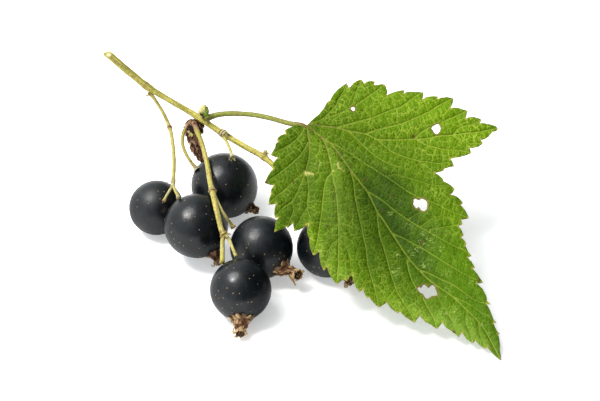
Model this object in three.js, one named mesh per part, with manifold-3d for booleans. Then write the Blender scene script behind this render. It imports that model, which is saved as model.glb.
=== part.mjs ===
// Blackcurrant sprig: a cut shoot with a palmate leaf, two fruiting strigs and six ripe berries,
// lying on a level surface. Millimetres, +Z up, origin at the bottom centre of the whole sprig.
import * as THREE from 'three';
import { mergeVertices } from 'three/addons/utils/BufferGeometryUtils.js';
import Module from 'manifold-3d';

const wasm = await Module();
wasm.setup();

// ---------------------------------------------------------------- driving dimensions
const LEAF_THICKNESS = 0.36;      // blade, mm
const LEAF_GRID = 2.0;            // spacing of the blade's facets
const STEM_SIDES = 9;             // facets round a stem
const BERRY_SEGMENTS = 22;        // facets round a berry
const BERRY_RINGS = 12;           // facets from the stem end to the dried flower
const JOINT_GAP = 0.30;           // clearance where two pieces grow against each other
const FACET_ALLOWANCE = 1.006;    // keeps a faceted berry at its real girth
const CALYX_BASE = 1.75;          // radius of the dried flower where it leaves the berry

// The blade is a sloping plane with soft hollows and swells; each is
// [centre x, centre y, height, length, width, direction in degrees].
const BLADE_PLANE = [1.716, 7.484, 21, -0.035, 0.5162];      // x0, y0, z0, slope x, slope y
const BLADE_SWELLS = [
  [14.096, -6.556, -1.3, 11, 3.6, -56], [6.996, -5.656, 0.8, 9, 3, -86], [25.496, -13.156, 0.9, 10, 4, -74],
  [-2.104, -8.156, -0.7, 5, 5, 0], [6.496, -16.656, 0.7, 4, 4, 0], [14.496, 5.844, -0.6, 9, 2.5, -8],
  [22.496, 11.844, 0.6, 8, 4, 0],
];

// Centre lines are lists of [x, y, z, radius].
const CURVES = {
  main_stem: [
  [-35.131, 29.895, 20.2, 0.679], [-34.465, 29.284, 20, 0.679], [-32.758, 27.605, 19.5, 0.686], [-31.143, 26.064, 19, 0.666],
  [-29.546, 24.689, 18.5, 0.655], [-28.029, 23.322, 18, 0.645], [-26.385, 22.177, 17.5, 0.57], [-24.511, 21.305, 16.8, 0.524],
  [-22.465, 20.252, 16.1, 0.524], [-20.256, 19.374, 15.2, 0.523], [-18.05, 18.188, 14.4, 0.532], [-15.844, 16.856, 13.6, 0.54],
  [-14.247, 15.771, 13.1, 0.558], [-12.706, 14.702, 12.8, 0.566], [-11.462, 13.747, 12.6, 0.529], [-9.295, 11.976, 12.4, 0.518],
  [-7.254, 10.413, 12.3, 0.525], [-6.007, 9.289, 12.25, 0.542], [-4.691, 7.749, 12.1, 0.486], [-3.104, 5.444, 11.7, 0.4],
  [-1.404, 2.744, 11.1, 0.34], [0.296, 0.144, 10, 0.28], [1.496, -1.806, 8.7, 0.27], [2.488, -3.179, 7.144, 0.34],
],
  left_strig: [
  [-27.148, 22.458, 16.9, 0.35], [-25.983, 20.819, 16.2, 0.313], [-24.544, 18.529, 15.2, 0.312], [-23.305, 15.616, 14.1, 0.347],
  [-22.669, 12.642, 13.1, 0.336], [-22.216, 8.448, 12, 0.343], [-22.16, 3.141, 11.3, 0.348],
],
  left_ped1: [
  [-22.167, 3.722, 11.4, 0.304], [-22.224, 2.561, 11.2, 0.268], [-22.668, 1.582, 10.9, 0.231], [-23.317, 0.966, 10, 0.232],
  [-23.776, 0.304, 9.3, 0.294],
],
  left_ped2: [
  [-22.167, 3.722, 11.4, 0.304], [-22.06, 2.58, 11.3, 0.294], [-21.758, 1.045, 11.6, 0.266], [-21.263, -0.767, 12, 0.265],
  [-20.893, -2.052, 12.2, 0.326],
],
  middle_strig: [
  [-18.881, 17.473, 13.4, 0.495], [-18.279, 15.504, 13.1, 0.494], [-17.405, 12.914, 12.7, 0.437], [-16.679, 9.795, 12.4, 0.434],
  [-15.993, 6.064, 12.1, 0.449], [-15.496, 2.497, 11.9, 0.463], [-15.034, 0.035, 12, 0.514], [-14.478, -3.869, 12.6, 0.447],
  [-13.86, -6.853, 12.4, 0.444], [-13.248, -9.062, 11.2, 0.452], [-12.693, -10.119, 10.6, 0.512],
],
  mid_stub: [
  [-12.871, -9.794, 10.8, 0.391], [-12.744, -10.242, 10.5, 0.39], [-12.933, -11.277, 10, 0.381], [-12.918, -13.178, 9, 0.389],
  [-12.891, -15.338, 8.8, 0.422],
],
  mid_ped5: [
  [-12.764, -9.899, 10.8, 0.364], [-12.444, -10.33, 10.6, 0.347], [-11.812, -10.927, 10.2, 0.303], [-11.135, -12.666, 9.7, 0.285],
  [-10.529, -14.01, 9, 0.311],
],
  mid_ped4: [
  [-15.037, 0.572, 11.9, 0.284], [-14.71, -0.629, 12, 0.283], [-14.077, -2.691, 12, 0.246], [-13.273, -4.561, 11.6, 0.237],
  [-12.412, -5.514, 10.5, 0.263], [-11.642, -5.437, 9, 0.308], [-11.154, -5.765, 8.4, 0.361],
],
  curved_pedicel: [
  [-20.233, 18.163, 12.4, 0.35], [-20.86, 16.192, 12.4, 0.33], [-20.996, 14.181, 11.7, 0.311], [-20.395, 12.12, 11.1, 0.301],
  [-19.449, 10.617, 10.3, 0.291], [-18.665, 9.703, 9.8, 0.327], [-18.326, 9.258, 9.6, 0.381],
],
  short_pedicel: [
  [-13.365, 14.25, 12.9, 0.292], [-12.651, 12.3, 13, 0.263], [-12.08, 10.135, 13.1, 0.271], [-11.846, 8.882, 13.2, 0.36],
  [-11.69, 7.864, 13.3, 0.539],
],
  petiole: [
  [-16.825, 19.346, 13.3, 0.571], [-15.857, 18.779, 14.2, 0.606], [-14.362, 17.847, 15.4, 0.512], [-12.104, 16.58, 16.6, 0.501],
  [-9.886, 15.155, 17.6, 0.453], [-7.672, 13.654, 18.5, 0.451], [-4.769, 11.409, 19.5, 0.448], [-1.477, 8.754, 20.4, 0.444],
  [0.584, 7.745, 20.8, 0.443],
],
};

// Berries: centre, radius, direction from the stem end to the dried flower.
const BERRIES = {
  b1: [[-25.47, 3.882, 4.876], 4.976, [-0.3005, 0.7714, -0.561]],
  b2: [[-17.929, -3.797, 7.169], 5.669, [0.4508, -0.6211, -0.6411]],
  b3: [[-13.325, 8.897, 5.943], 6.043, [0.7428, -0.4316, -0.5119]],
  b4: [[-6.307, -7.601, 5.469], 5.569, [0.6505, -0.7205, -0.2402]],
  b5: [[-9.708, -18.342, 5.234], 5.334, [0.02, -0.8711, -0.4906]],
  b6: [[5.258, -7.333, 5.28], 5.38, [0.5197, -0.7795, -0.3498]],
};

// Dried flowers: centre line from inside the berry's end to the curled tip.
const CALYX_LINES = {
  b3: [[-9.356, 6.591, 3.208], [-8.725, 6.224, 2.773], [-7.664, 5.957, 2.5], [-6.377, 5.257, 2.4]],
  b4: [[-3.14, -11.109, 4.299], [-2.587, -11.721, 4.095], [-1.271, -11.902, 4.2], [0.146, -12.438, 3.6]],
  b5: [[-9.615, -22.379, 2.96], [-9.598, -23.12, 2.543], [-9.616, -24.459, 1.75], [-9.786, -25.818, 1.05]],
  b2: [[-15.689, -6.884, 3.983], [-15.306, -7.412, 3.438], [-14.819, -7.906, 2.6], [-14.186, -8.9, 1.9]],
  b6: [[7.69, -10.981, 3.643], [8.132, -11.644, 3.346], [8.817, -12.565, 2.7], [9.521, -13.678, 2.2]],
  b1: [[-26.755, 7.18, 2.477], [-27.011, 7.836, 2.0], [-27.477, 9.031, 1.231], [-27.867, 10.034, 0.752]],
};

const BRACT_LINE = [
  [-19.916, 16.224, 12.7, 0.55], [-19.437, 14.475, 12.7, 0.913], [-18.747, 12.482, 12.3, 1],
  [-17.874, 10.411, 12, 0.815], [-17.245, 8.878, 11.7, 0.361],
];
const SCALES_LINE = [
  [-19.012, 20.079, 12.2, 0.832], [-18.949, 18.911, 12.1, 1.245], [-19.124, 17.719, 12, 1.196],
  [-19.72, 16.951, 11.9, 0.643],
];
const GREEN_BUD_LINE = [
  [-17.162, 17.556, 15.6, 0.457], [-17.103, 17.542, 16.3, 0.73], [-16.93, 17.515, 17.1, 0.638],
  [-16.743, 17.496, 17.8, 0.182],
];

// Outline of the blade seen from above, tooth by tooth, and the insect holes in it.
const LEAF_OUTLINE = [
  [0.99, 7.4], [-0.2, 7.42], [-2.26, 6.4], [-2.01, 5.91], [-2.96, 5.51], [-3.47, 5.07], [-3.61, 4.63],
  [-3.33, 4.54], [-3.84, 4.06], [-3.91, 3.49], [-4.71, 2.19], [-3.46, 1.7], [-4.33, 0.53], [-4.43, -0.03],
  [-4.25, -0.19], [-5.26, -1.58], [-5.69, -2.55], [-4.08, -2.88], [-4.51, -3.48], [-5, -5.96], [-3.72, -5.76],
  [-3.99, -7.29], [-3.85, -8.04], [-3.34, -7.88], [-3.71, -8.64], [-3.95, -10.47], [-1.83, -9.34], [-1.69, -9.7],
  [-0.75, -8.84], [-0.53, -10.14], [0.41, -9.97], [1.83, -9.34], [1.95, -9.03], [1.73, -10.36], [1.88, -11.18],
  [2.17, -11.65], [2.27, -13.33], [2.75, -14.57], [3.25, -14.46], [3.83, -14.06], [3.83, -15.08], [4.08, -16.27],
  [4.56, -17.33], [4.92, -17.13], [5.16, -16.75], [5.31, -17.48], [5.78, -18.36], [6.77, -19.48], [7.96, -18.64],
  [8.43, -18.93], [9.44, -17.83], [9.62, -18.72], [10, -19.56], [10.63, -20.39], [11.23, -19.9], [11.56, -20.7],
  [12, -21.25], [12.28, -21.06], [13.93, -22.66], [15.31, -21.83], [15.97, -22.7], [17.13, -23.5], [17.5, -23.22],
  [18.5, -24.11], [19.99, -24.95], [20.84, -23.83], [21.8, -24.77], [23.76, -25.89], [24.69, -24.89], [25.28, -25.65],
  [26.25, -26.19], [27.39, -27.1], [27.99, -26.44], [28.74, -27.41], [29.78, -28.07], [30.19, -27.56], [30.84, -28.25],
  [31.81, -28.85], [32.21, -28.6], [33.13, -29.61], [34.41, -30.56], [34.4, -28.14], [34.15, -26.5], [34.45, -26.39],
  [33.97, -25.97], [33.7, -25.42], [33.45, -24.7], [33.95, -24.6], [33.47, -24.16], [32.39, -21.73], [33.08, -21.73],
  [32.54, -21.31], [32.34, -20.35], [31.8, -19.38], [30.85, -18.55], [31.95, -18.28], [30.16, -16.16], [30.59, -15.96],
  [29.41, -14.47], [30.09, -14.05], [29.52, -13.45], [29.07, -12.55], [29.24, -12.11], [28.37, -11.18], [28.8, -10.79],
  [28.42, -9.84], [27.94, -9.24], [28.7, -8.9], [28.49, -8.18], [29.87, -7.68], [29.06, -6.14], [28.5, -5.56],
  [28.9, -5.17], [27.8, -4.09], [26.81, -3.88], [27.23, -3.44], [27.55, -2.78], [26.45, -2], [25.66, -1.65],
  [25.53, -1.25], [24.88, -0.62], [24.23, -0.25], [25.72, 0.16], [25.86, 0.57], [27.64, 1.04], [27.01, 2.37],
  [29.86, 3.02], [30.73, 3.43], [30.46, 4.35], [31, 4.26], [32.1, 4.58], [32.86, 5.12], [32.41, 5.83],
  [32.67, 5.7], [33.23, 5.86], [33.92, 6.34], [34.63, 7.15], [35.34, 7.36], [35.66, 7.8], [35.23, 8.22],
  [33.07, 8.64], [32.45, 8.58], [32.81, 9.18], [31.47, 9.57], [30.5, 9.52], [29.96, 9.24], [30.38, 10.58],
  [28.78, 10.91], [27.82, 10.94], [27.27, 10.72], [27.72, 11.72], [27.86, 12.59], [26.64, 12.68], [25.54, 12.49],
  [25.01, 12.22], [25.06, 12.68], [24.19, 12.64], [22.95, 12.46], [22.31, 12.03], [22.5, 13.38], [19.42, 13.35],
  [19.01, 13.05], [19.15, 13.71], [17.37, 13.39], [15.99, 12.83], [16.11, 13.49], [15.71, 14.82], [13.78, 14.71],
  [13.91, 15.35], [13.16, 15.43], [12.41, 15.28], [12.03, 14.95], [11.5, 15.73], [10.64, 15.43], [10.01, 14.99],
  [9.5, 14.36], [9.19, 14.22], [8.86, 15.02], [7.37, 13.94], [6.61, 13.16], [5.78, 11.8], [5.23, 11.42],
  [4.6, 10.34], [2.09, 7.94],
];
const LEAF_HOLES = [
[
  [9.4, 10.55], [9.91, 10.89], [10.31, 10.56], [10.07, 9.99],
],
[
  [23.8, 7.42], [24, 7.75], [24.36, 7.87], [24.72, 8.09], [25.03, 8.16], [25.25, 7.88], [25.4, 7.55],
  [25.34, 7.1], [25.08, 6.76], [24.74, 6.54], [24.51, 6.53], [24.2, 6.8], [24.1, 7.08], [23.87, 7.22],
],
[
  [20.33, -4.83], [20.59, -4.72], [20.82, -4.83], [21.07, -4.99], [21.33, -5.02], [21.51, -4.79], [21.81, -4.77],
  [22.15, -4.94], [22.49, -5.17], [22.64, -5.51], [22.7, -5.89], [22.6, -6.15], [22.63, -6.5], [22.45, -6.8],
  [22.18, -7], [21.89, -6.94], [21.6, -6.81], [21.41, -6.54], [21.25, -6.23], [21.04, -6.21], [20.95, -6.38],
  [20.69, -6.35], [20.47, -6.03], [20.27, -5.72], [20.16, -5.51], [20.33, -5.34], [20.31, -5.08],
],
[
  [20.54, -19.24], [20.89, -19.09], [21.16, -19.17], [21.29, -19.26], [21.41, -18.96], [21.67, -18.66], [21.98, -18.77],
  [22.24, -19.08], [22.49, -19.32], [22.73, -19.11], [23, -18.83], [23.32, -18.86], [23.57, -19.18], [23.74, -19.69],
  [23.96, -20.33], [23.95, -20.54], [23.49, -20.61], [23.15, -20.59], [22.86, -20.69], [22.51, -20.97], [22.11, -21.04],
  [21.81, -20.81], [21.65, -20.48], [21.54, -20.22], [21.29, -20.15], [21.03, -20.07], [20.77, -19.65],
]
];

// ---------------------------------------------------------------- helpers
function solidOf(geometry) {
  const g = geometry.clone();
  g.deleteAttribute('normal');
  g.deleteAttribute('uv');
  const m = mergeVertices(g, 1e-5);
  const mesh = new wasm.Mesh({
    numProp: 3,
    vertProperties: new Float32Array(m.attributes.position.array),
    triVerts: new Uint32Array(m.index.array),
  });
  mesh.merge();
  return new wasm.Manifold(mesh);
}

function geometryOf(solid) {
  const m = solid.getMesh();
  const g = new THREE.BufferGeometry();
  const p = new Float32Array(m.numVert * 3);
  for (let i = 0; i < m.numVert; i++)
    for (let k = 0; k < 3; k++) p[3 * i + k] = m.vertProperties[i * m.numProp + k];
  g.setAttribute('position', new THREE.BufferAttribute(p, 3));
  g.setIndex(new THREE.BufferAttribute(new Uint32Array(m.triVerts), 1));
  g.computeVertexNormals();
  return g;
}

// A closed round solid along a smooth line, its radius following the line's fourth number.
// lobes and depth fold its surface lengthwise; cut is the end face's normal at the start.
function tube(points, { sides = STEM_SIDES, steps = 0, grow = 0, lobes = 0, depth = 0, twist = 0, cut = null, flat = 1, up = null, point = false } = {}) {
  const curve = new THREE.CatmullRomCurve3(points.map((p) => new THREE.Vector3(p[0], p[1], p[2])), false, 'centripetal');
  const n = steps || (points.length - 1) * 2;
  const radii = points.map((p) => p[3]);
  const pos = [];
  let normal = null;
  let before = null;
  const centres = [];
  for (let i = 0; i <= n; i++) {
    const t = i / n;
    const c = curve.getPoint(t);
    const tan = curve.getTangent(t).normalize();
    if (!normal) {
      normal = up ? new THREE.Vector3(...up) : new THREE.Vector3(0, 0, 1);
      normal.addScaledVector(tan, -normal.dot(tan)).normalize();
    } else {
      const q = new THREE.Quaternion().setFromUnitVectors(before, tan);
      normal.applyQuaternion(q).addScaledVector(tan, -normal.dot(tan)).normalize();
    }
    before = tan.clone();
    const side = new THREE.Vector3().crossVectors(normal, tan);
    const s = t * (points.length - 1);
    const k = Math.min(points.length - 2, Math.floor(s));
    const r = radii[k] + (radii[k + 1] - radii[k]) * (s - k) + grow;
    centres.push(c);
    for (let j = 0; j < sides; j++) {
      const a = (j / sides) * Math.PI * 2 + twist * t;
      const rr = r * (1 + depth * Math.cos(lobes * (j / sides) * Math.PI * 2) * Math.sin(Math.PI * Math.min(1, t * 1.2)));
      const v = c.clone().addScaledVector(side, Math.cos(a) * rr).addScaledVector(normal, Math.sin(a) * rr * flat);
      if (cut && i === 0) {
        const w = new THREE.Vector3(...cut).normalize();
        v.addScaledVector(tan, -v.clone().sub(c).dot(w) / tan.dot(w));
      }
      pos.push(v.x, v.y, v.z);
    }
  }
  const first = pos.length / 3;
  pos.push(centres[0].x, centres[0].y, centres[0].z);
  const e = centres[n];
  pos.push(e.x, e.y, e.z);
  const idx = [];
  for (let i = 0; i < n; i++)
    for (let j = 0; j < sides; j++) {
      const a = i * sides + j, b = i * sides + ((j + 1) % sides), c = a + sides, d = b + sides;
      idx.push(a, b, d, a, d, c);
    }
  for (let j = 0; j < sides; j++) {
    idx.push(first, (j + 1) % sides, j);
    idx.push(first + 1, n * sides + j, n * sides + ((j + 1) % sides));
  }
  const g = new THREE.BufferGeometry();
  g.setAttribute('position', new THREE.Float32BufferAttribute(pos, 3));
  g.setIndex(idx);
  return g;
}

// A berry: a LatheGeometry slightly drawn out towards its ends, turned to its own axis.
function berryGeometry([centre, radius, axis], grow = 0) {
  const profile = [];
  const r = radius * FACET_ALLOWANCE + grow;
  for (let i = 0; i <= BERRY_RINGS; i++) {
    const a = (i / BERRY_RINGS) * Math.PI;
    const x = Math.max(0, Math.sin(a) * r);
    profile.push(new THREE.Vector2(i === 0 || i === BERRY_RINGS ? 0 : x, -Math.cos(a) * r));
  }
  const g = new THREE.LatheGeometry(profile, BERRY_SEGMENTS);
  const q = new THREE.Quaternion().setFromUnitVectors(new THREE.Vector3(0, 1, 0), new THREE.Vector3(...axis).normalize());
  g.applyQuaternion(q);
  g.translate(...centre);
  return g;
}

// Everything below the surface that the sprig lies on.
function ground() {
  const g = new THREE.BoxGeometry(200, 200, 20);
  g.translate(0, 0, -10);
  return solidOf(g);
}

function bladeHeight(x, y) {
  const [x0, y0, z0, sx, sy] = BLADE_PLANE;
  let z = z0 + sx * (x - x0) + sy * (y - y0);
  for (const [cx, cy, h, l, w, deg] of BLADE_SWELLS) {
    const c = Math.cos((deg * Math.PI) / 180), s = Math.sin((deg * Math.PI) / 180);
    const p = ((x - cx) * c + (y - cy) * s) / l, q = (-(x - cx) * s + (y - cy) * c) / w;
    z += h * Math.exp(-(p * p + q * q));
  }
  return z;
}

// The blade: a curved sheet of even thickness, cut to the toothed outline and the holes.
function leafGeometry() {
  const xs = LEAF_OUTLINE.map((p) => p[0]), ys = LEAF_OUTLINE.map((p) => p[1]);
  const x0 = Math.min(...xs) - 1, x1 = Math.max(...xs) + 1, y0 = Math.min(...ys) - 1, y1 = Math.max(...ys) + 1;
  const nx = Math.ceil((x1 - x0) / LEAF_GRID), ny = Math.ceil((y1 - y0) / LEAF_GRID);
  const pos = [];
  for (const side of [1, -1])
    for (let j = 0; j <= ny; j++)
      for (let i = 0; i <= nx; i++) {
        const x = x0 + ((x1 - x0) * i) / nx, y = y0 + ((y1 - y0) * j) / ny;
        pos.push(x, y, bladeHeight(x, y) + (side * LEAF_THICKNESS) / 2);
      }
  const at = (s, i, j) => s * (nx + 1) * (ny + 1) + j * (nx + 1) + i;
  const idx = [];
  for (let j = 0; j < ny; j++)
    for (let i = 0; i < nx; i++) {
      idx.push(at(0, i, j), at(0, i + 1, j), at(0, i + 1, j + 1), at(0, i, j), at(0, i + 1, j + 1), at(0, i, j + 1));
      idx.push(at(1, i, j), at(1, i + 1, j + 1), at(1, i + 1, j), at(1, i, j), at(1, i, j + 1), at(1, i + 1, j + 1));
    }
  for (let i = 0; i < nx; i++) {
    idx.push(at(1, i, 0), at(1, i + 1, 0), at(0, i + 1, 0), at(1, i, 0), at(0, i + 1, 0), at(0, i, 0));
    idx.push(at(1, i, ny), at(0, i + 1, ny), at(1, i + 1, ny), at(1, i, ny), at(0, i, ny), at(0, i + 1, ny));
  }
  for (let j = 0; j < ny; j++) {
    idx.push(at(1, 0, j), at(0, 0, j + 1), at(1, 0, j + 1), at(1, 0, j), at(0, 0, j), at(0, 0, j + 1));
    idx.push(at(1, nx, j), at(1, nx, j + 1), at(0, nx, j + 1), at(1, nx, j), at(0, nx, j + 1), at(0, nx, j));
  }
  const sheet = new THREE.BufferGeometry();
  sheet.setAttribute('position', new THREE.Float32BufferAttribute(pos, 3));
  sheet.setIndex(idx);
  const shape = new THREE.Shape(LEAF_OUTLINE.map((p) => new THREE.Vector2(...p)));
  for (const h of LEAF_HOLES) shape.holes.push(new THREE.Path(h.map((p) => new THREE.Vector2(...p))));
  const prism = new THREE.ExtrudeGeometry(shape, { depth: 40, bevelEnabled: false, curveSegments: 1 });
  prism.translate(0, 0, -3);
  return geometryOf(solidOf(sheet).intersect(solidOf(prism)));
}

const group = new THREE.Group();
function piece(name, geometry, color, roughness) {
  const mesh = new THREE.Mesh(geometry, new THREE.MeshStandardMaterial({ color, roughness, metalness: 0 }));
  mesh.name = name;
  group.add(mesh);
}
const cutAway = (solid, ...tools) => tools.reduce((s, t) => s.subtract(t), solid);

// ---------------------------------------------------------------- the woody shoot and its branches
const C = CURVES;
const stemCut = [-0.62, 0.35, 0.70];
const berrySolid = {}, berryRoom = {};
for (const [name, b] of Object.entries(BERRIES)) {
  berrySolid[name] = solidOf(berryGeometry(b));
  berryRoom[name] = solidOf(berryGeometry(b, JOINT_GAP));
}
const floor = ground();

const stemRoom = solidOf(tube(C.main_stem, { grow: JOINT_GAP }));
const mainStem = cutAway(solidOf(tube(C.main_stem, { cut: stemCut })), berryRoom.b6);
piece('main_stem', geometryOf(mainStem), 0xb9b05e, 0.55);

const leftTubes = (grow) => solidOf(tube(C.left_strig, { sides: 8, steps: 14, grow }))
  .add(solidOf(tube(C.left_ped1, { sides: 8, grow })))
  .add(solidOf(tube(C.left_ped2, { sides: 8, grow })));
piece('left_strig', geometryOf(cutAway(leftTubes(0), stemRoom, berryRoom.b1, berryRoom.b2)), 0xc2bb66, 0.55);

const midTubes = (grow) => solidOf(tube(C.middle_strig, { sides: 8, steps: 20, grow }))
  .add(solidOf(tube(C.mid_stub, { sides: 8, steps: 5, grow })))
  .add(solidOf(tube(C.mid_ped5, { sides: 8, steps: 5, grow })))
  .add(solidOf(tube(C.mid_ped4, { sides: 8, grow })));
piece('middle_strig', geometryOf(cutAway(midTubes(0), stemRoom, berryRoom.b2, berryRoom.b4, berryRoom.b5)), 0xc2bb66, 0.55);

const curvedRoom = solidOf(tube(C.curved_pedicel, { sides: 8, grow: JOINT_GAP }));
piece('curved_pedicel', geometryOf(cutAway(solidOf(tube(C.curved_pedicel, { sides: 8 })), stemRoom, midTubes(JOINT_GAP), berryRoom.b3)), 0xb5ad5c, 0.6);
piece('short_pedicel', geometryOf(cutAway(solidOf(tube(C.short_pedicel, { sides: 8 })), stemRoom)), 0xb09a58, 0.6);

// ---------------------------------------------------------------- leaf
const petioleRoom = solidOf(tube(C.petiole, { sides: 8, grow: JOINT_GAP }));
piece('leaf_blade', leafGeometry(), 0x5f8f25, 0.5);
const bladeRoom = (() => {
  const g = new THREE.BoxGeometry(6, 8, 8);
  g.translate(C.petiole[8][0] + 3.15, C.petiole[8][1], C.petiole[8][2]);
  return solidOf(g);
})();
piece('petiole', geometryOf(cutAway(solidOf(tube(C.petiole, { sides: 8 })), stemRoom, bladeRoom)), 0x7f9a45, 0.5);

// ---------------------------------------------------------------- bud, scales and dried bract
const scales = cutAway(solidOf(tube(SCALES_LINE, { sides: 9, steps: 6, lobes: 3, depth: 0.12 })), stemRoom, midTubes(JOINT_GAP), curvedRoom);
piece('bud_scales', geometryOf(scales), 0x4a3520, 0.85);
const scalesRoom = solidOf(tube(SCALES_LINE, { sides: 9, steps: 6, lobes: 3, depth: 0.12, grow: JOINT_GAP }));
piece('dried_bract', geometryOf(cutAway(solidOf(tube(BRACT_LINE, { sides: 8, steps: 8, flat: 0.5, up: [0.2, -0.6, 0.8] })), midTubes(JOINT_GAP), curvedRoom, scalesRoom, berryRoom.b3)), 0x43301f, 0.85);
piece('green_bud', geometryOf(cutAway(solidOf(tube(GREEN_BUD_LINE, { sides: 9, steps: 6 })), stemRoom, petioleRoom)), 0xb9c27a, 0.5);

// ---------------------------------------------------------------- berries and their dried flowers
for (const [key, line] of Object.entries(CALYX_LINES)) {
  const n = key.slice(1);
  piece('berry_' + n, geometryOf(cutAway(berrySolid[key], floor)), 0x23282c, 0.35);
  const radii = [CALYX_BASE, CALYX_BASE * 0.93, 0.78, 0.95];
  const path = line.map((p, i) => [...p, radii[i]]);
  const body = solidOf(tube(path, { sides: 10, steps: 6, lobes: 5, depth: 0.10 }));
  piece('calyx_' + n, geometryOf(cutAway(body, berryRoom[key], floor)), 0x8a6a42, 0.9);
}

export default group;
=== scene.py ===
import bpy, math
import numpy as np
from mathutils import Vector, Matrix, noise, kdtree
from mathutils.geometry import delaunay_2d_cdt


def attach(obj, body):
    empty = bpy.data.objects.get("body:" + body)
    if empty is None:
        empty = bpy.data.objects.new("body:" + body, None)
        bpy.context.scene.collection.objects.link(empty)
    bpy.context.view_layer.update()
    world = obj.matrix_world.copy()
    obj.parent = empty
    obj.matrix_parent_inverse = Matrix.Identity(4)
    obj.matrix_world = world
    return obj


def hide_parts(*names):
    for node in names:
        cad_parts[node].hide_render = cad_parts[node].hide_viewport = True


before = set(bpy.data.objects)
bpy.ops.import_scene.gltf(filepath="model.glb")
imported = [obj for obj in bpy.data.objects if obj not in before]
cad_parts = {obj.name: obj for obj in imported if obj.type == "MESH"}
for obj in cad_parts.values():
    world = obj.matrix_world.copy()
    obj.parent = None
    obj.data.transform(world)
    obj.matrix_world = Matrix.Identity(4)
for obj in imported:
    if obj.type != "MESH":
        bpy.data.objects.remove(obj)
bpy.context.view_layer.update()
MM = 0.001

# ============================================================ measured layout, millimetres, row frame
CAMERA_POS = [0.496, -264.538, 231.808]
CAMERA_TILT = 50.0          # degrees up from looking straight down: the view is 40 degrees above level
CAMERA_LENS = 116.55        # on a 36 mm sensor

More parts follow.
